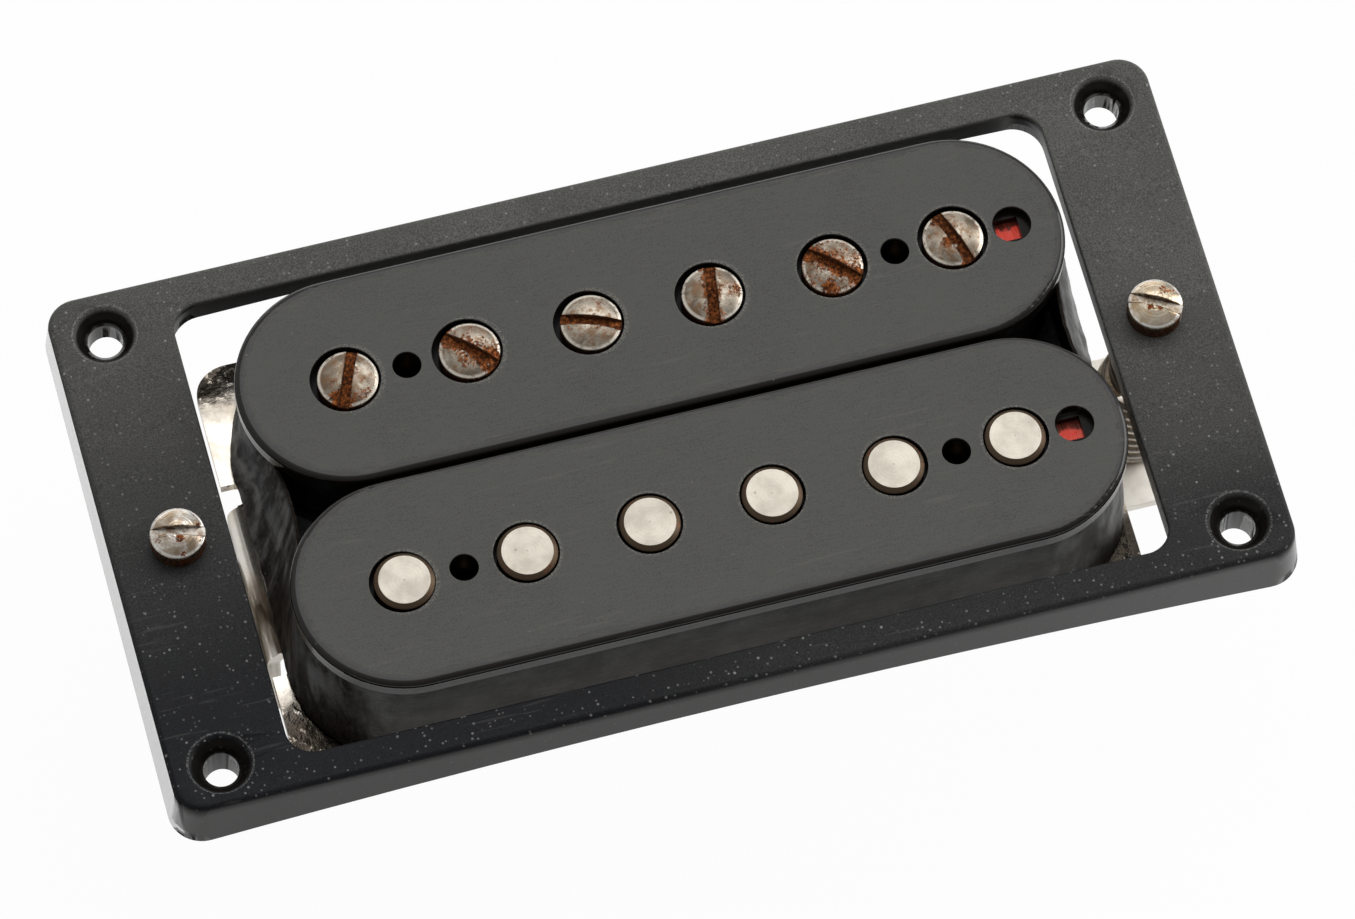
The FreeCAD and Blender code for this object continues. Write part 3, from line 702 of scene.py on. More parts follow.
def makeScrewFinish(name, look):
    material, shader, place = startMaterial(name)
    tones = screwTones
    centred = turned(place, (*look["centre"], look["topZ"]))
    local = turned(centred, angle=look["angle"])
    x, y, z = separated(local)
    straightX, straightY, up = separated(centred)
    flat = combined(straightX, straightY, 0.0)
    radius = diagonal(x, y)
    seed = mapped(local, Location=(look["seed"] * 0.01, 0, 0))
    blotch = noiseOf(seed, 420.0, 4.0, 0.6, 0.6)
    mottle = noiseOf(seed, 1500.0, 4.0, 0.7)
    fine = noiseOf(seed, 4200.0, 3.0, 0.7)
    half = look["slotWidth"] / 2
    crown, rimAt = look["head"]["crown"], look["head"]["radius"]
    offSlot = unsigned(y)
    inSlot = times(ramp(offSlot, half * 1.12, half * 0.94),
                   ramp(z, -crown * 0.45 - 0.08 * mm, -crown * 0.45 - 0.20 * mm))
    nearSlot = ramp(offSlot, half + 0.75 * mm, half)
    # the head's side under its rim: it gets more rust, and painted shade
    below = times(ramp(z, -crown - 0.08 * mm, -crown - 0.40 * mm),
                  ramp(radius, rimAt - 0.25 * mm, rimAt - 0.10 * mm))
    # rust: all over, beside the slot, in patches, under the head and in the slot
    cover = plus(look["rust"], times(nearSlot, look["rustSlot"]))
    for spotX, spotY, reach, amount in look["patches"]:
        away = addNode(material.node_tree, "ShaderNodeVectorMath",
                       {0: flat, 1: (spotX * mm, spotY * mm, 0)}, operation="DISTANCE")
        cover = plus(cover, ramp(away.outputs["Value"], reach * mm, 0.1 * reach * mm, 0.0, amount))
    cover = plus(cover, times(below, 0.20), times(inSlot, look["slotRust"]))
    rust = rustOf(seed, 1000.0, cover)
    metal = mixed(ramp(blotch, 0.38, 0.62), look["bright"], look["dull"])
    metal = mixed(ramp(mottle, 0.46, 0.66, 0.0, look["mottle"]), metal, look["film"])
    metal = mixed(ramp(fine, 0.52, 0.70, 0.0, 0.40), metal, look["dull"])
    rings = number("SINE", times(radius, 2 * math.pi / tones["turning"]))
    metal = mixed(ramp(rings, 0.2, 1.0, 0.0, look["ringTone"]), metal, look["dull"])
    # a bright ring near the head's rim: polished wear, and a painted highlight
    polishedRimHighlight = times(ramp(radius, rimAt - 0.34 * mm, rimAt - 0.20 * mm),
                     ramp(mottle, 0.36, 0.50, 0.15, 0.85),
                     ramp(z, -crown - 0.15 * mm, -crown - 0.02 * mm))
    metal = mixed(polishedRimHighlight, metal, look["rimHighlight"])
    # painted shade darkens the head's side, over its metal and over its rust
    metal = mixed(times(below, 0.85), metal, tones["below"])
    dirt = mixed(ramp(fine, 0.36, 0.58), tones["dirt"], rust["Color"])
    rusty = mixed(times(inSlot, look["slotDirt"]), rust["Color"], dirt)
    rusty = mixed(times(below, 0.75), rusty, tones["rustInPaintedShade"])
    tone = mixed(rust["Mask"], metal, rusty)
    # painted reflection: the slot's floor is painted pale, standing in for the bright light it
    # mirrors
    paintedSlotLight = times(inSlot, look["slotPaintedLight"])
    tone = mixed(paintedSlotLight, tone, mixed(ramp(mottle, 0.40, 0.62), *tones["slot"]))
    waxAndShade = times(specksOf(seed, 1700.0, look["flecks"], 0.30), minus(1.0, below))
    tone = mixed(waxAndShade, tone, tones["waxAndShade"])
    # painted shade: a thin dark line along both edges of the slot
    slotEdgeShade = times(ramp(unsigned(minus(offSlot, half)), 0.10 * mm, 0.03 * mm),
                ramp(mottle, 0.36, 0.54, 0.25, look["slotEdgeShade"]))
    tone = mixed(slotEdgeShade, tone, tones["slotEdgeShade"])
    cloudy = larger(rust["Mask"], waxAndShade, paintedSlotLight)
    rough = plus(ramp(mottle, 0.3, 0.7, *look["rough"]), times(cloudy, 0.42), clamp=True)
    height = plus(times(rust["Height"], 1.3), times(fine, 0.25),
                  times(rings, look["ringTone"] * 0.5))
    finishShader(shader, Base_Color=tone, Roughness=rough, IOR=1.15,
                 Metallic=minus(1.0, cloudy, clamp=True), Normal=bumped(height, 0.55, 0.03 * mm))
    return material


screwMaking = {
    "edgeSteps": 5, "domeRings": 22, "spinSteps": 96, "threadSteps": 28,
    "underside": 0.06 * mm, "softenAngle": 50, "smoothAngle": 38, "shankInside": 0.4,
}


def crownedProfile(head):
    radius, rim, crown, edge, bottom = [head[key] for key in ("radius", "rim", "crown", "edge",
                                                              "bottom")]
    flat = radius - edge
    dome = (flat * flat + crown * crown) / (2 * crown)
    lower = screwMaking["underside"]
    points = [(0, bottom), (radius - lower, bottom), (radius, bottom + lower)]
    for step in range(screwMaking["edgeSteps"] + 1):
        turn = math.pi / 2 * step / screwMaking["edgeSteps"]
        lift = rim - edge + edge * math.sin(turn)
        points.append((flat + edge * math.cos(turn), bottom + lift))
    rings = screwMaking["domeRings"]
    for step in range(1, rings + 1):
        reach = flat * (1 - step / rings)
        lift = math.sqrt(dome * dome - reach * reach) - dome + crown
        wave = head["ripple"] * math.sin(2 * math.pi * reach / head["rippleStep"])
        points.append((reach, bottom + rim + lift + (wave if step < rings else 0)))
    return points


def slottedScrew(name, centre, angle, shape):
    x, y = centre
    head = shape["head"]
    screw = spinProfile(name, crownedProfile(head), screwMaking["spinSteps"], centre)
    top = head["bottom"] + head["rim"] + head["crown"]
    bpy.ops.mesh.primitive_cube_add(size=1, location=(x, y, top))
    knife = bpy.context.object
    knife.scale = (3 * head["radius"], shape["slotWidth"], 2 * shape["slotDepth"])
    knife.rotation_euler = (0, 0, math.radians(angle))
    settle(knife)
    cutWith(screw, knife)
    modify(screw, "BEVEL", width=shape["soften"], segments=2, limit_method="ANGLE",
           angle_limit=math.radians(screwMaking["softenAngle"]))
    joinDoubles(screw, 0.0008 * mm)
    shankTop = head["bottom"] + screwMaking["shankInside"] * head["rim"]
    body = threadedShank(name + "Thread", centre, shankTop, shape["shank"],
                         screwMaking["threadSteps"])
    pick(screw)
    body.select_set(True)
    bpy.ops.object.join()
    smoothByAngle(screw, screwMaking["smoothAngle"])
    return screw


def makeScrew(shape, key, centre, angle, own):
    screw = slottedScrew(shape["title"] + key, centre, angle, shape)
    finish = makeScrewFinish(shape["finish"] + key, {**shape, **own, "centre": centre,
                                                     "angle": angle})
    node = shape["node"] + key
    handOver(screw, finish, node, node)


heightScrew = {
    "title": "heightScrew.", "finish": "heightNickel.", "node": "height_screw_",
    "slot": "height_screw_nickel",
    "head": {"radius": 2.175 * mm, "rim": 1.65 * mm, "crown": 0.6 * mm, "edge": 0.17 * mm,
             "bottom": 2.987 * mm, "ripple": 0.004 * mm, "rippleStep": 0.42 * mm},
    "shank": {"radius": 1.25 * mm, "depth": 0.19 * mm, "pitch": 0.529 * mm, "tip": -25.6 * mm},
    "slotWidth": 0.80 * mm, "slotDepth": 0.62 * mm, "soften": 0.06 * mm, "topZ": 5.237 * mm,
    "rust": 0.32, "rustSlot": 0.05, "slotRust": 0.05, "slotDirt": 0.9, "slotPaintedLight": 0.6,
    "slotEdgeShade": 0.85, "flecks": 0.03, "mottle": 0.75, "ringTone": 0.22, "rough": (0.12, 0.32),
    "rimHighlight": (0.88, 0.85, 0.80),
    # of the left and of the right one; rust patches: x and y from the middle, reach, amount
    "own": {
        "left": {"seed": 3, "film": (0.46, 0.34, 0.24), "bright": (0.96, 0.92, 0.84),
                 "dull": (0.42, 0.32, 0.22),
                 "patches": ((0.0, -0.75, 0.70, 0.24), (1.70, 1.00, 0.60, 0.16),
                             (-1.50, -0.40, 0.50, 0.18), (0.05, -1.90, 0.45, 0.24),
                             (1.66, 0.20, 0.45, 0.26))},
        "right": {"seed": 8, "film": (0.66, 0.46, 0.26), "bright": (0.92, 0.82, 0.66),
                  "dull": (0.50, 0.37, 0.23),
                  "patches": ((0.75, 0.95, 0.85, 0.20), (-0.55, -0.40, 0.42, 0.30),
                              (0.10, -0.65, 0.60, 0.16), (-0.60, 1.60, 0.50, 0.14),
                              (1.50, 0.70, 0.60, 0.20))}},
    "places": (("left", -39.45 * mm, -11.0), ("right", 39.45 * mm, -29.0)),
}

for side, x, angle in heightScrew["places"]:
    makeScrew(heightScrew, side, (x, 0.0), angle, heightScrew["own"][side])
print("height screws made")

poleScrew = {
    "title": "poleScrew.", "finish": "wornNickel.", "node": "pole_screw_",
    "slot": "pole_screw_steel",
    "head": {"radius": 2.425 * mm, "rim": 1.35 * mm, "crown": 0.5 * mm, "edge": 0.13 * mm,
             "bottom": 4.47 * mm, "ripple": 0.0, "rippleStep": 0.3 * mm},
    "shank": {"radius": 1.55 * mm, "depth": 0.22 * mm, "pitch": 0.635 * mm, "tip": -12.85 * mm},
    "slotWidth": 0.84 * mm, "slotDepth": 0.72 * mm, "soften": 0.05 * mm, "topZ": 6.32 * mm,
    "slotRust": 0.45, "slotDirt": 0.8, "slotPaintedLight": 0.0, "slotEdgeShade": 0.6, "flecks": 0.05,
    "mottle": 0.85, "ringTone": 0.0, "rough": (0.22, 0.42), "bright": (0.51, 0.455, 0.375),
    "dull": (0.205, 0.155, 0.110), "film": (0.25, 0.140, 0.075), "rimHighlight": (0.82, 0.76, 0.66),
    "firstX": -23.6 * mm, "pitch": 9.8 * mm, "rowY": 8.95 * mm,
    "angles": (68.0, -43.5, -20.0, 81.0, -43.0, -71.0),
    # rust all over, and beside the slot
    "rusts": ((0.38, 0.05), (0.42, 0.08), (0.35, 0.05), (0.37, 0.16), (0.46, 0.10), (0.38, 0.06)),
    # rust patches: x and y from the middle, reach, amount
    "patches": (((-0.85, -1.55, 1.40, 0.26), (0.90, 1.90, 0.55, 0.24), (1.0, -1.6, 0.90, 0.14)),
                ((1.40, -1.30, 1.60, 0.24), (-0.65, -1.0, 0.90, 0.12), (-1.60, 2.00, 0.70, 0.16)),
                ((1.05, 1.25, 0.60, 0.12), (2.0, -0.8, 0.6, 0.14), (-0.5, -0.9, 0.9, 0.08)),
                ((1.70, -0.25, 1.20, 0.14), (0.35, 2.15, 0.65, 0.24), (-0.40, -2.30, 0.75, 0.24)),
                ((-1.85, 1.95, 1.00, 0.24), (-0.75, -1.85, 0.90, 0.20), (2.00, -1.30, 0.85, 0.18)),
                ((-0.70, -0.45, 0.75, 0.17), (-1.0, 1.65, 0.80, 0.22), (0.55, -2.40, 0.70, 0.24))),
}

for index in range(6):
    rust, beside = poleScrew["rusts"][index]
    centre = (poleScrew["firstX"] + index * poleScrew["pitch"], poleScrew["rowY"])
    makeScrew(poleScrew, str(index + 1), centre, poleScrew["angles"][index],
              {"seed": index * 7 + 1, "rust": rust, "rustSlot": beside,
               "patches": poleScrew["patches"][index]})
print("pole screws made")


# The height springs: one wire screwed round the height screw, its end turns closed.

spring = {
    "wire": 0.60 * mm, "radius": 2.70 * mm, "turns": 16, "steps": 44, "sides": 14,
    "top": -0.02 * mm, "bottom": -18.08 * mm, "closed": 1.3, "drawn": 1.0 * mm,
    # below the ring it swells and leans
    "fuller": 0.25 * mm, "aside": -0.65 * mm, "leanFrom": 7.0, "leanOver": 2.2,
    "places": (("left", -39.45 * mm), ("right", 39.45 * mm)),
    "seat": -0.4 * mm, "foot": -17.7 * mm,
    "bright": (0.62, 0.57, 0.50), "dull": (0.40, 0.35, 0.29), "shaded": (0.20, 0.155, 0.115),
}


def makeSpringWire():
    material, shader, place = startMaterial("springWire")
    cloud = noiseOf(place, 500.0, 4.0, 0.6)
    fine = noiseOf(place, 4000.0, 3.0, 0.6)
    rust = rustOf(place, 900.0, 0.36)
    steel = mixed(ramp(cloud, 0.3, 0.7), spring["bright"], spring["dull"])
    steel = mixed(ramp(separated(place)[2], -11 * mm, -5 * mm), steel, spring["shaded"])
    rough = plus(ramp(fine, 0.3, 0.7, 0.26, 0.40), times(rust["Mask"], 0.35))
    finishShader(shader, Base_Color=mixed(rust["Mask"], steel, rust["Color"]), Roughness=rough,
                 Metallic=minus(1.0, rust["Mask"]),
                 Normal=bumped(plus(fine, rust["Height"]), 0.3, 0.01 * mm))
    return material


def makeSprings():
    half, radius, total, closed = [spring[key] for key in ("wire", "radius", "turns", "closed")]
    half /= 2
    bpy.ops.object.select_all(action="DESELECT")
    bpy.ops.mesh.primitive_circle_add(vertices=spring["sides"], radius=half,
                                      location=(radius, 0, 0), rotation=(math.pi / 2, 0, 0))
    coil = bpy.context.object
    coil.name = "springCoil"
    settle(coil)
    modify(coil, "SCREW", angle=2 * math.pi, screw_offset=-spring["drawn"], iterations=total,
           steps=spring["steps"], render_steps=spring["steps"])
    edit(coil, "DESELECT", "EDGE")
    bpy.ops.mesh.select_non_manifold()
    bpy.ops.mesh.edge_face_add()
    leaveEdit()
    joinDoubles(coil)
    # the coil was drawn with 1 mm between turns; its end turns are closed and the rest opened
    drop = spring["top"] - spring["bottom"] - spring["wire"]
    tight = spring["wire"] * 1.03 / spring["drawn"]
    wide = (drop / mm - 2 * closed * tight) / (total - 2 * closed)
    for vertex in coil.data.vertices:
        angle = math.atan2(vertex.co.y, vertex.co.x) / (2 * math.pi)
        turns = round(-vertex.co.z / mm - angle) + angle
        middle = Vector((radius * math.cos(angle * 2 * math.pi),
                         radius * math.sin(angle * 2 * math.pi), -turns * mm))
        away = vertex.co - middle
        first = min(turns, closed) * tight
        core = max(0.0, min(turns - closed, total - 2 * closed)) * wide
        last = max(0.0, turns - (total - closed)) * tight
        middle.z = spring["top"] - half - (first + core + last) * mm
        loose = within((-middle.z / mm - spring["leanFrom"]) / spring["leanOver"])
        loose = loose * loose * (3 - 2 * loose)
        middle.x *= 1 + loose * spring["fuller"] / radius
        middle.y *= 1 + loose * spring["fuller"] / radius
        middle.x += loose * spring["aside"]
        vertex.co = middle + away
    smoothByAngle(coil, 50)
    dress(coil, makeSpringWire())
    for side, x in spring["places"]:
        wound = copyPiece(coil, "heightSpring." + side, (x, 0, 0))
        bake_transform(wound)
        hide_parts("height_spring_" + side)
    bpy.data.objects.remove(coil)


makeSprings()
print("springs made")


# Bands that run round the coils: rows of one closed loop, extruded step by step, then placed.

def bandOf(name, columns, rows, place, closed):
    bpy.ops.object.select_all(action="DESELECT")
    bpy.ops.mesh.primitive_circle_add(vertices=columns, radius=1, fill_type="NOTHING")
    band = bpy.context.object
    band.name = name
    edit(band)
    for row in range(rows - 1):
        bpy.ops.mesh.extrude_region_move(TRANSFORM_OT_translate={"value": (0, 0, 1)})
    if closed:
        bpy.ops.mesh.select_all(action="DESELECT")
        bpy.ops.mesh.select_mode(type="EDGE")
        bpy.ops.mesh.select_non_manifold()
        bpy.ops.mesh.bridge_edge_loops()
    leaveEdit()
    layer = band.data.uv_layers.new(name="wound")
    spots = {}
    for vertex in band.data.vertices:
        share = (math.atan2(vertex.co.y, vertex.co.x) / (2 * math.pi)) % 1.0
        column = round(share * columns) % columns
        row = round(vertex.co.z)
        spots[vertex.index] = (column, row)
        vertex.co = place(column, row)
    for face in band.data.polygons:
        wraps = any(spots[band.data.loops[i].vertex_index][0] == columns - 1
                    for i in face.loop_indices)
        for i in face.loop_indices:
            column, row = spots[band.data.loops[i].vertex_index]
            if wraps and column == 0:
                column = columns
            layer.data[i].uv = (column / columns, row / rows)
    joinDoubles(band)
    return band


bobbin = {
    "middle": 0.9 * mm, "reach": 24.55 * mm, "rowY": 8.95 * mm,
    "windingBottom": -3.08 * mm, "windingTop": 4.28 * mm, "bendRadius": 5.5 * mm,
}


# A point of the line round one coil, and the way out from it.

def stadiumPoint(share, radius, rowY):
    middle, reach = bobbin["middle"], bobbin["reach"]
    straight = 2 * reach
    bend = math.pi * bobbin["bendRadius"]
    walk = share * 2 * (straight + bend)
    for side in (-1, 1):
        if walk < straight:
            spot = Vector((middle + side * (reach - walk), rowY + side * radius, 0))
            return spot, Vector((0, side, 0))
        walk -= straight
        if walk < bend or side > 0:
            turn = side * math.pi / 2 + math.pi * walk / bend
            away = Vector((math.cos(turn), math.sin(turn), 0))
            return Vector((middle - side * reach, rowY, 0)) + away * radius, away
        walk -= bend


winding = {
    "inner": 3.34 * mm, "outer": 7.66 * mm, "columns": 480, "topRows": 26, "sideRows": 22,
    "bottomRows": 6, "coreRows": 4, "strand": 0.30 * mm, "relief": 0.055 * mm,
    "dark": (0.42, 0.024, 0.016), "red": (0.98, 0.15, 0.105), "pale": (1.0, 0.33, 0.26),
    "waxAndShade": (0.075, 0.028, 0.014), "farShadeFrom": 9.60 * mm, "glow": 0.30,
}


def alongWound(material, scaleX, scaleY):
    wound = addNode(material.node_tree, "ShaderNodeUVMap", uv_map="wound")
    return mapped(wound.outputs[0], Scale=(scaleX, scaleY, 1.0))


def makeCoilWire():
    material, shader, place = startMaterial("enamelWire")
    look = winding
    strand = noiseOf(alongWound(material, 60.0, 260.0), 1.0, 4.0, 0.6, 0.3)
    cloud = noiseOf(place, 900.0, 4.0, 0.6)
    tone = mixed(ramp(strand, 0.36, 0.62), look["dark"], look["red"])
    tone = mixed(ramp(cloud, 0.45, 0.70, 0.0, 0.70), tone, look["pale"])
    # painted shade: each coil turns dark brown towards its far side, under the recess edge
    rows = 2 * bobbin["rowY"]
    fromRow = minus(remainder(plus(separated(place)[1], rows), rows), look["farShadeFrom"])
    shadedFar = ramp(plus(fromRow, ramp(cloud, 0.3, 0.7, -0.25 * mm, 0.25 * mm)),
                 -0.42 * mm, -0.10 * mm)
    tone = mixed(times(shadedFar, ramp(strand, 0.62, 0.40, 0.45, 0.95)), tone, look["waxAndShade"])
    # painted light: where not shaded the red wire glows faintly, standing in for light scattered
    # between the enamelled wires
    glow = times(minus(1.0, shadedFar), look["glow"])
    deep = combined(glow, times(glow, 0.07), times(glow, 0.05), kind="Color")
    finishShader(shader, Base_Color=tone, Roughness=ramp(strand, 0.3, 0.7, 0.42, 0.24),
                 Metallic=0.0, IOR=1.25, Emission_Color=deep, Emission_Strength=0.8,
                 Normal=bumped(strand, 0.6, 0.05 * mm))
    return material


def makeWindings():
    wire = makeCoilWire()
    inner, outer, columns = winding["inner"], winding["outer"], winding["columns"]
    low, high = bobbin["windingBottom"] + 0.05 * mm, bobbin["windingTop"] - 0.10 * mm
    # the profile's corners, the rows from each to the next, and the way out there
    corners = ((inner, high, winding["topRows"], 0, 1), (outer, high, winding["sideRows"], 1, 0),
               (outer, low, winding["bottomRows"], 0, -1), (inner, low, winding["coreRows"], -1, 0))
    profile = []
    for corner, (radius, height, rows, outward, upward) in enumerate(corners):
        nextRadius, nextHeight = corners[(corner + 1) % len(corners)][:2]
        for row in range(rows):
            profile.append((radius + (nextRadius - radius) * row / rows,
                            height + (nextHeight - height) * row / rows, outward, upward))
    for name, side in (("screw", 1), ("slug", -1)):
        rowY = side * bobbin["rowY"]

        def place(column, row):
            radius, height, outward, upward = profile[row]
            spot, away = stadiumPoint(column / columns, radius, rowY)
            sample = Vector((spot.x * 300, spot.y * 300, height * 900 + side * 7))
            rough = noise.noise(sample * 2.2)
            strand = math.sin(2 * math.pi * ((radius + height) / winding["strand"]
                                             + 0.9 * noise.noise(sample)))
            depth = winding["relief"] * (0.6 * strand + 1.1 * rough) - 0.06 * mm
            return spot + away * (depth * outward) + Vector((0, 0, height + depth * upward))

        coil = bandOf("coilWinding." + name, columns, len(profile), place, True)
        smoothByAngle(coil, 60)
        handOver(coil, wire, "pickup", name + "_coil_winding")


makeWindings()
print("windings made")


# The tapes: one round each coil, and the wide one round both, drawn in between them at the ends.

tape = {
    "coilRadius": 7.84 * mm, "coilThick": 0.20 * mm, "coilColumns": 420, "coilRows": 14,
    "neck": 8.38 * mm, "thick": 0.24 * mm, "flare": 0.75 * mm,
    "footShift": -0.35 * mm, "rightFoot": 0.45 * mm, "rightFarFoot": 0.95 * mm,
    "topDraw": 20.0, "footDraw": 2.0, "foot": -7.05 * mm, "top": 4.27 * mm,
    "arcColumns": 104, "dipColumns": 110, "lineColumns": 220, "rows": 22, "around": 175.0,
    "hemRows": 5, "hem": 2.6 * mm, "hemFrom": 23 * mm, "hemTo": 29 * mm,
    "deep": (0.0075, 0.0055, 0.0040), "fibre": (0.020, 0.0165, 0.0130),
    "weave": (0.040, 0.034, 0.028), "brown": (0.014, 0.010, 0.007),
    "paintedLeftSheen": (0.072, 0.076, 0.080), "pale": (0.33, 0.33, 0.32), "speck": (0.55, 0.54, 0.52),
}


def makeTapeFinish():
    material, shader, place = startMaterial("waxedTape")
    x, y, z = separated(place)
    fibre = noiseOf(alongWound(material, 900.0, 9.0), 1.0, 4.0, 0.65, 0.3)
    fold = noiseOf(alongWound(material, 90.0, 3.5), 1.0, 3.0, 0.55, 0.3)
    cloud = noiseOf(place, 260.0, 5.0, 0.6)
    weave = noiseOf(turned(place, angle=-14.0, scale=(0.22, 1.0, 1.0)), 3600.0, 3.0, 0.7)
    tone = mixed(ramp(fibre, 0.35, 0.72), tape["deep"], tape["fibre"])
    tone = mixed(ramp(weave, 0.46, 0.70, 0.0, 0.7), tone, tape["weave"])
    tone = mixed(ramp(cloud, 0.50, 0.75, 0.0, 0.5), tone, tape["brown"])
    # a painted sheen high on the left end, a painted pale reflection on the right foot, and dust
    # near the foot
    paintedLeftSheen = times(ramp(plus(x, times(z, 0.35)), -30.6 * mm, -32.2 * mm),
                 ramp(z, -3 * mm, 2 * mm), ramp(fibre, 0.30, 0.62, 0.35, 1.0))
    tone = mixed(paintedLeftSheen, tone, tape["paintedLeftSheen"])
    # painted reflection: the right foot of the tape is painted pale where it would mirror the white
    # floor
    paintedFootReflection = times(ramp(x, 33.7 * mm, 34.7 * mm), ramp(z, -1.5 * mm, -4.5 * mm),
                     ramp(fold, 0.35, 0.60, 0.35, 0.9))
    tone = mixed(paintedFootReflection, tone, tape["pale"])
    specks = times(specksOf(place, 2600.0, 0.07, 0.24), ramp(z, -4.5 * mm, -6.6 * mm, 0.35, 1.0))
    tone = mixed(specks, tone, tape["speck"])
    rough = plus(ramp(fibre, 0.3, 0.7, 0.34, 0.56), ramp(cloud, 0.3, 0.7, -0.05, 0.08))
    onLeft = ramp(x, -27 * mm, -31 * mm)
    onSide = ramp(unsigned(x), 24 * mm, 28 * mm)
    coat = plus(ramp(cloud, 0.35, 0.65, 0.34, 0.50),
                times(onSide, ramp(fold, 0.35, 0.65, -0.10, 0.28)))
    coat = minus(coat, times(onLeft, 0.40), clamp=True)
    coat = times(coat, ramp(z, 4.15 * mm, 3.2 * mm, 0.15, 1.0))
    bump = bumped(plus(times(fibre, 0.7), times(fold, 1.2), times(weave, 0.8)), 0.5, 0.05 * mm)
    finishShader(shader, Base_Color=tone, Roughness=rough, IOR=1.06, Coat_Weight=coat,
                 Coat_Roughness=0.34, Normal=bump, Coat_Normal=bump)
    return material


def thicken(band, thickness):
    modify(band, "SOLIDIFY", thickness=thickness, offset=-1)
    smoothByAngle(band, 50)


def arcPoint(cx, cy, radius, first, last, share):
    turn = math.radians(first + (last - first) * share)
    away = Vector((math.cos(turn), math.sin(turn), 0))
    return Vector((cx, cy, 0)) + away * radius, away


def wrapPoint(column, radius, draw):
    reach, rowY, x = bobbin["reach"], bobbin["rowY"], bobbin["middle"]
    length = rowY / math.sin(math.radians(draw))
    dipRadius = length - radius
    dipX = reach + length * math.cos(math.radians(draw))
    arcs, dips, lines = tape["arcColumns"], tape["dipColumns"], tape["lineColumns"]
    sections = [(arcs, (x + reach, rowY, radius, 90, -draw), 1),
                (dips, (x + dipX, 0, dipRadius, 180 - draw, 180 + draw), -1),
                (arcs, (x + reach, -rowY, radius, draw, -90), 1),
                (lines, None, -1),
                (arcs, (x - reach, -rowY, radius, -90, -180 - draw), 1),
                (dips, (x - dipX, 0, dipRadius, -draw, draw), -1),
                (arcs, (x - reach, rowY, radius, 180 + draw, 90), 1),
                (lines, None, 1)]
    for count, shape, side in sections:
        if column < count:
            share = column / count
            if shape is None:
                start = x - side * reach
                return (Vector((start + side * 2 * reach * share, side * (rowY + radius), 0)),
                        Vector((0, side, 0)))
            spot, away = arcPoint(*shape, share)
            return spot, away * side
        column -= count
    return None


def makeCoilTapes(finish):
    rows = tape["coilRows"]
    for name, side in (("screw", 1), ("slug", -1)):
        rowY = side * bobbin["rowY"]

        def place(column, row):
            share = column / tape["coilColumns"]
            height = bobbin["windingBottom"] + 0.02 * mm + row / (rows - 1) * (
                bobbin["windingTop"] - bobbin["windingBottom"] - 0.04 * mm)
            spot, away = stadiumPoint(share, tape["coilRadius"], rowY)
            lump = noise.noise(Vector((spot.x * 260, spot.y * 260, height * 120 + side)))
            return spot + away * (0.05 * mm * lump) + Vector((0, 0, height))

        band = bandOf("coilTape." + name, tape["coilColumns"], rows, place, False)
        thicken(band, tape["coilThick"])
        handOver(band, finish, "pickup", name + "_coil_tape")


def makeOuterWrap(finish):
    columns = 4 * tape["arcColumns"] + 2 * tape["dipColumns"] + 2 * tape["lineColumns"]
    rows, hemRows = tape["rows"], tape["hemRows"]

    def place(column, row):
        share = max(0, row - hemRows) / (rows - 1)
        draw = tape["footDraw"] + (tape["topDraw"] - tape["footDraw"]) * share ** 0.8
        spot, away = wrapPoint(column, tape["neck"] + tape["flare"] * (1 - share), draw)
        onRight = within((spot.x / mm - 14) / 16)
        onFar = within((spot.y / mm + 3) / 5)
        spot.x += (1 - share) * (tape["footShift"] + onRight * (
            tape["rightFoot"] + onFar * tape["rightFarFoot"]))
        height = tape["foot"] + (tape["top"] - tape["foot"]) * share
        walk = column / columns * tape["around"]
        inDip = max(0.0, 1 - abs(spot.y) / (5.0 * mm)) if abs(spot.x) > 20 * mm else 0.0
        folds = noise.noise(Vector((walk * 0.75, share * 1.6, 3.1)))
        fibres = noise.noise(Vector((walk * 3.5, share * 2.6, 9.7)))
        lumps = noise.noise(Vector((walk * 0.45, share * 3.0, 5.5)))
        creases = noise.noise(Vector((walk * 0.25, share * 9.0, 1.5)))
        bend = 0.07 * folds + 0.018 * fibres + 0.08 * lumps + 0.045 * creases
        bend += inDip * (0.11 * folds + 0.012 * fibres)
        bend *= min(1.0, (1 - share) * 6 + 0.3)
        sag = 0.12 * mm * noise.noise(Vector((walk * 0.6, 0.0, 7.7))) * max(0.0, 1 - share * 5)
        # at both ends the foot is folded in under the coils
        atEnd = within((abs(spot.x) - tape["hemFrom"]) / (tape["hemTo"] - tape["hemFrom"]))
        folded = max(0, hemRows - row) / hemRows * tape["hem"] * (0.02 + 0.98 * atEnd)
        return spot + away * (bend * mm - 0.02 * mm - folded) + Vector((0, 0, height + sag))

    band = bandOf("outerTape", columns, rows + hemRows, place, False)
    thicken(band, tape["thick"])
    handOver(band, finish, "pickup", "outer_tape_wrap")


waxedTape = makeTapeFinish()
makeCoilTapes(waxedTape)
makeOuterWrap(waxedTape)
print("tapes made")


# The baseplate and the pieces that lie on it.

plateFinish = {
    "bright": (0.80, 0.76, 0.69), "warm": (0.62, 0.54, 0.44), "dark": (0.050, 0.040, 0.031),
    "dull": (0.24, 0.20, 0.16), "paintedFootLight": (0.95, 0.91, 0.84), "rough": (0.13, 0.27),
    "footLevel": -17.9 * mm, "footLean": 0.20,
}


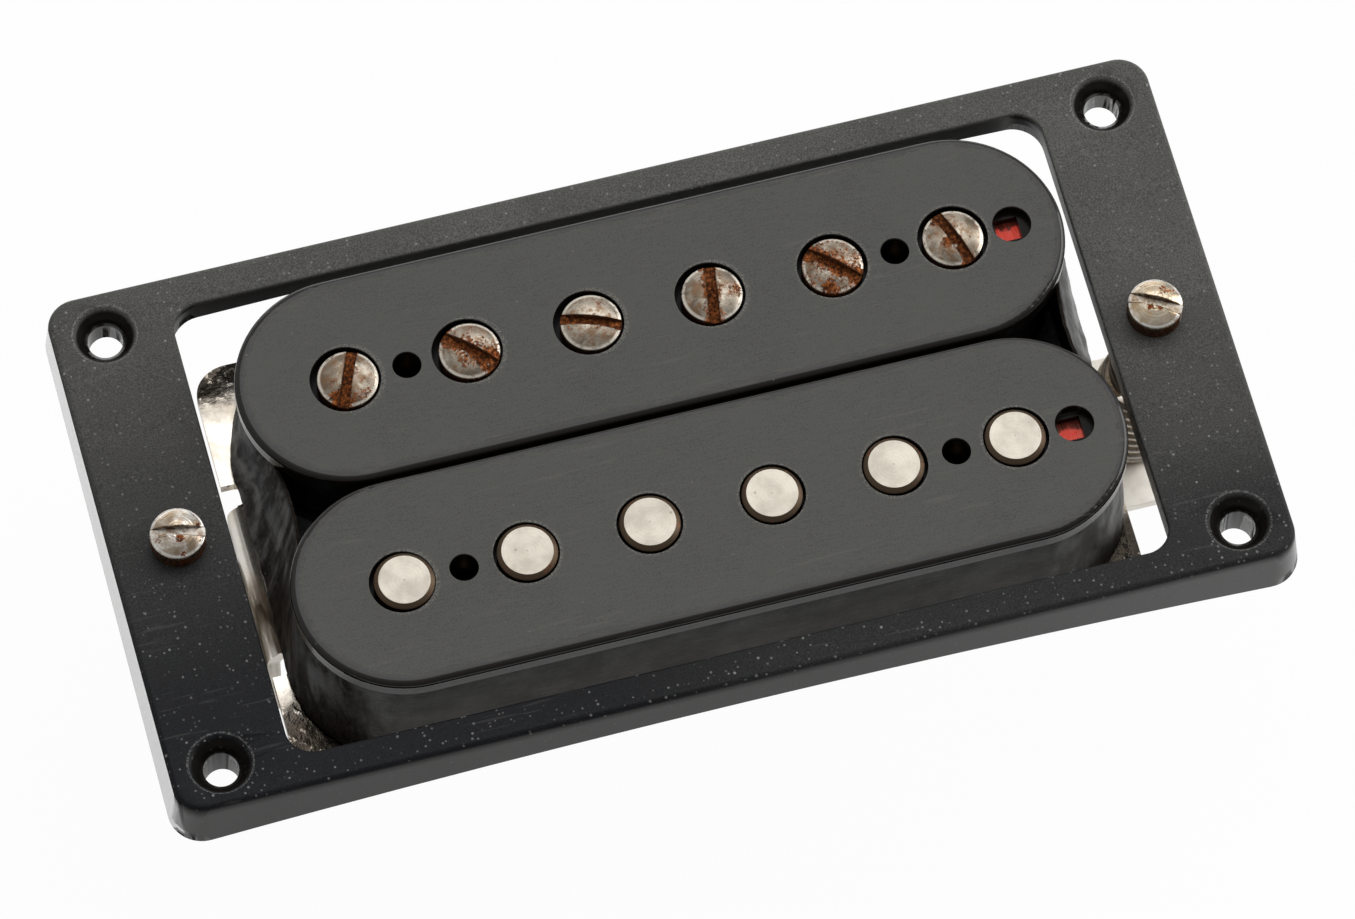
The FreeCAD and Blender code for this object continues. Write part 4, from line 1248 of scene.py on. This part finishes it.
def makePlateFinish():
    material, shader, place = startMaterial("nickelSilver")
    look = plateFinish
    x, y, z = separated(place)
    cloud = noiseOf(place, 130.0, 5.0, 0.6, 0.4)
    fine = noiseOf(place, 2600.0, 3.0, 0.6)
    drawn = noiseOf(turned(place, scale=(1.0, 1.0, 0.06)), 900.0, 3.0)
    dimples = noiseOf(place, 1500.0, 2.0, 0.55)
    tone = mixed(ramp(cloud, 0.42, 0.66), look["bright"], look["warm"])
    # darker on the corners of its top, and dark under the coils from dirt and painted shade
    wavy = plus(y, ramp(cloud, 0.3, 0.7, -1.2 * mm, 1.2 * mm))
    corner = times(larger(ramp(wavy, 15.6 * mm, 17.4 * mm), ramp(wavy, -9.6 * mm, -11.4 * mm)),
                   ramp(z, -8.4 * mm, -7.9 * mm))
    well = times(ramp(x, 20 * mm, 25 * mm), ramp(y, -3.4 * mm, -2.6 * mm))
    inside = times(larger(ramp(unsigned(x), 32.0 * mm, 30.0 * mm), well),
                   ramp(z, -8.3 * mm, -7.8 * mm))
    darkCornersAndShade = larger(times(corner, minus(1.0, ramp(dimples, 0.60, 0.68))), inside)
    tone = mixed(times(darkCornersAndShade, 0.93), tone, look["dark"])
    onLeg = ramp(z, -8.6 * mm, -9.6 * mm)
    tone = mixed(times(onLeg, ramp(drawn, 0.40, 0.64, 0.10, 0.80)), tone, look["dull"])
    # painted highlight: the right foot is painted near white and rougher, standing in for light
    # falling on it
    paintedFootLight = times(ramp(x, 33.0 * mm, 34.0 * mm), ramp(z, -17.0 * mm, -17.7 * mm))
    tone = mixed(times(paintedFootLight, ramp(cloud, 0.3, 0.6, 1.0, 0.75)), tone, look["paintedFootLight"])
    height = plus(times(dimples, corner, 2.2), times(fine, 0.12))
    rough = plus(ramp(cloud, 0.3, 0.7, *look["rough"]), ramp(fine, 0.3, 0.7, -0.02, 0.05),
                 times(paintedFootLight, 0.25), times(onLeg, 0.10))
    foot = times(ramp(x, 34 * mm, 35 * mm), ramp(z, -18.4 * mm, look["footLevel"], 1.0, 0.9))
    tilted = bumped(times(x, -1.0, foot), 1.0, look["footLean"])
    finishShader(shader, Base_Color=tone, Roughness=rough, Metallic=1.0,
                 Normal=bumped(height, 0.6, 0.06 * mm, Normal=tilted))
    return material


# The plate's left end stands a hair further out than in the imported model.

plateShape = {"outward": 0.25 * mm, "from": 31.0, "over": 2.5, "to": 37.0, "back": 1.8}


def makePlate():
    plate = copyOfNode("baseplate", "basePlate")
    for vertex in plate.data.vertices:
        reach = -vertex.co.x / mm
        outward = within((reach - plateShape["from"]) / plateShape["over"])
        inward = within((plateShape["to"] - reach) / plateShape["back"])
        vertex.co.x -= plateShape["outward"] * outward * inward
    smoothByAngle(plate, 30)
    evenNormals(plate)
    handOver(plate, makePlateFinish(), "pickup", "baseplate")


# The brass screws reach a little higher in their holes, where their tips catch the light.

bobbinScrews = {"shankFrom": 0.0, "longer": 1.1 * mm}


def makeBobbinScrews(finish):
    screws = copyOfNode("bobbin_screws", "bobbinScrews")
    for vertex in screws.data.vertices:
        if vertex.co.z > bobbinScrews["shankFrom"]:
            vertex.co.z += bobbinScrews["longer"]
    smoothByAngle(screws, 30)
    handOver(screws, finish, "pickup", "bobbin_screws")


# Inner metals: light and dark tone, roughness from and to, share of metal, patches to the metre.

plainMetals = {
    "keeperSteel": ((0.42, 0.40, 0.38), (0.24, 0.21, 0.19), (0.34, 0.50), 1.0, 300.0),
    "magnetAlloy": ((0.34, 0.34, 0.35), (0.17, 0.17, 0.18), (0.45, 0.65), 0.9, 400.0),
    "oldBrass": ((0.95, 0.55, 0.25), (0.50, 0.24, 0.10), (0.28, 0.46), 1.0, 900.0),
}
spacerWood = {"light": (0.62, 0.44, 0.27), "dark": (0.42, 0.27, 0.15), "pore": (0.20, 0.12, 0.06)}


def makePlainMetal(name):
    light, dark, rough, metallic, scale = plainMetals[name]
    material, shader, place = startMaterial(name)
    cloud = noiseOf(place, scale, 5.0, 0.6)
    fine = noiseOf(place, scale * 12, 3.0, 0.6)
    tone = mixed(ramp(cloud, 0.35, 0.65), light, dark)
    tone = mixed(ramp(fine, 0.55, 0.8, 0.0, 0.4), tone, dark)
    finishShader(shader, Base_Color=tone, Metallic=metallic,
                 Roughness=ramp(fine, 0.3, 0.7, *rough),
                 Normal=bumped(plus(cloud, fine), 0.3, 0.03 * mm))
    return material


def makeWood():
    material, shader, place = startMaterial("bareMaple")
    drawn = turned(place, scale=(0.05, 1.0, 1.0))
    grain = noiseOf(drawn, 2600.0, 5.0, 0.6, 0.5)
    pores = noiseOf(drawn, 9000.0, 2.0, 0.5)
    tone = mixed(ramp(grain, 0.35, 0.65), spacerWood["light"], spacerWood["dark"])
    tone = mixed(ramp(pores, 0.6, 0.75, 0.0, 0.5), tone, spacerWood["pore"])
    finishShader(shader, Base_Color=tone, Roughness=ramp(grain, 0.3, 0.7, 0.55, 0.7),
                 Normal=bumped(grain, 0.4, 0.04 * mm))
    return material


makePlate()
finishNode("keeper_bar", makePlainMetal("keeperSteel"))
finishNode("bar_magnet", makePlainMetal("magnetAlloy"))
makeBobbinScrews(makePlainMetal("oldBrass"))
finishNode("wooden_spacer", makeWood())
print("finishes made")
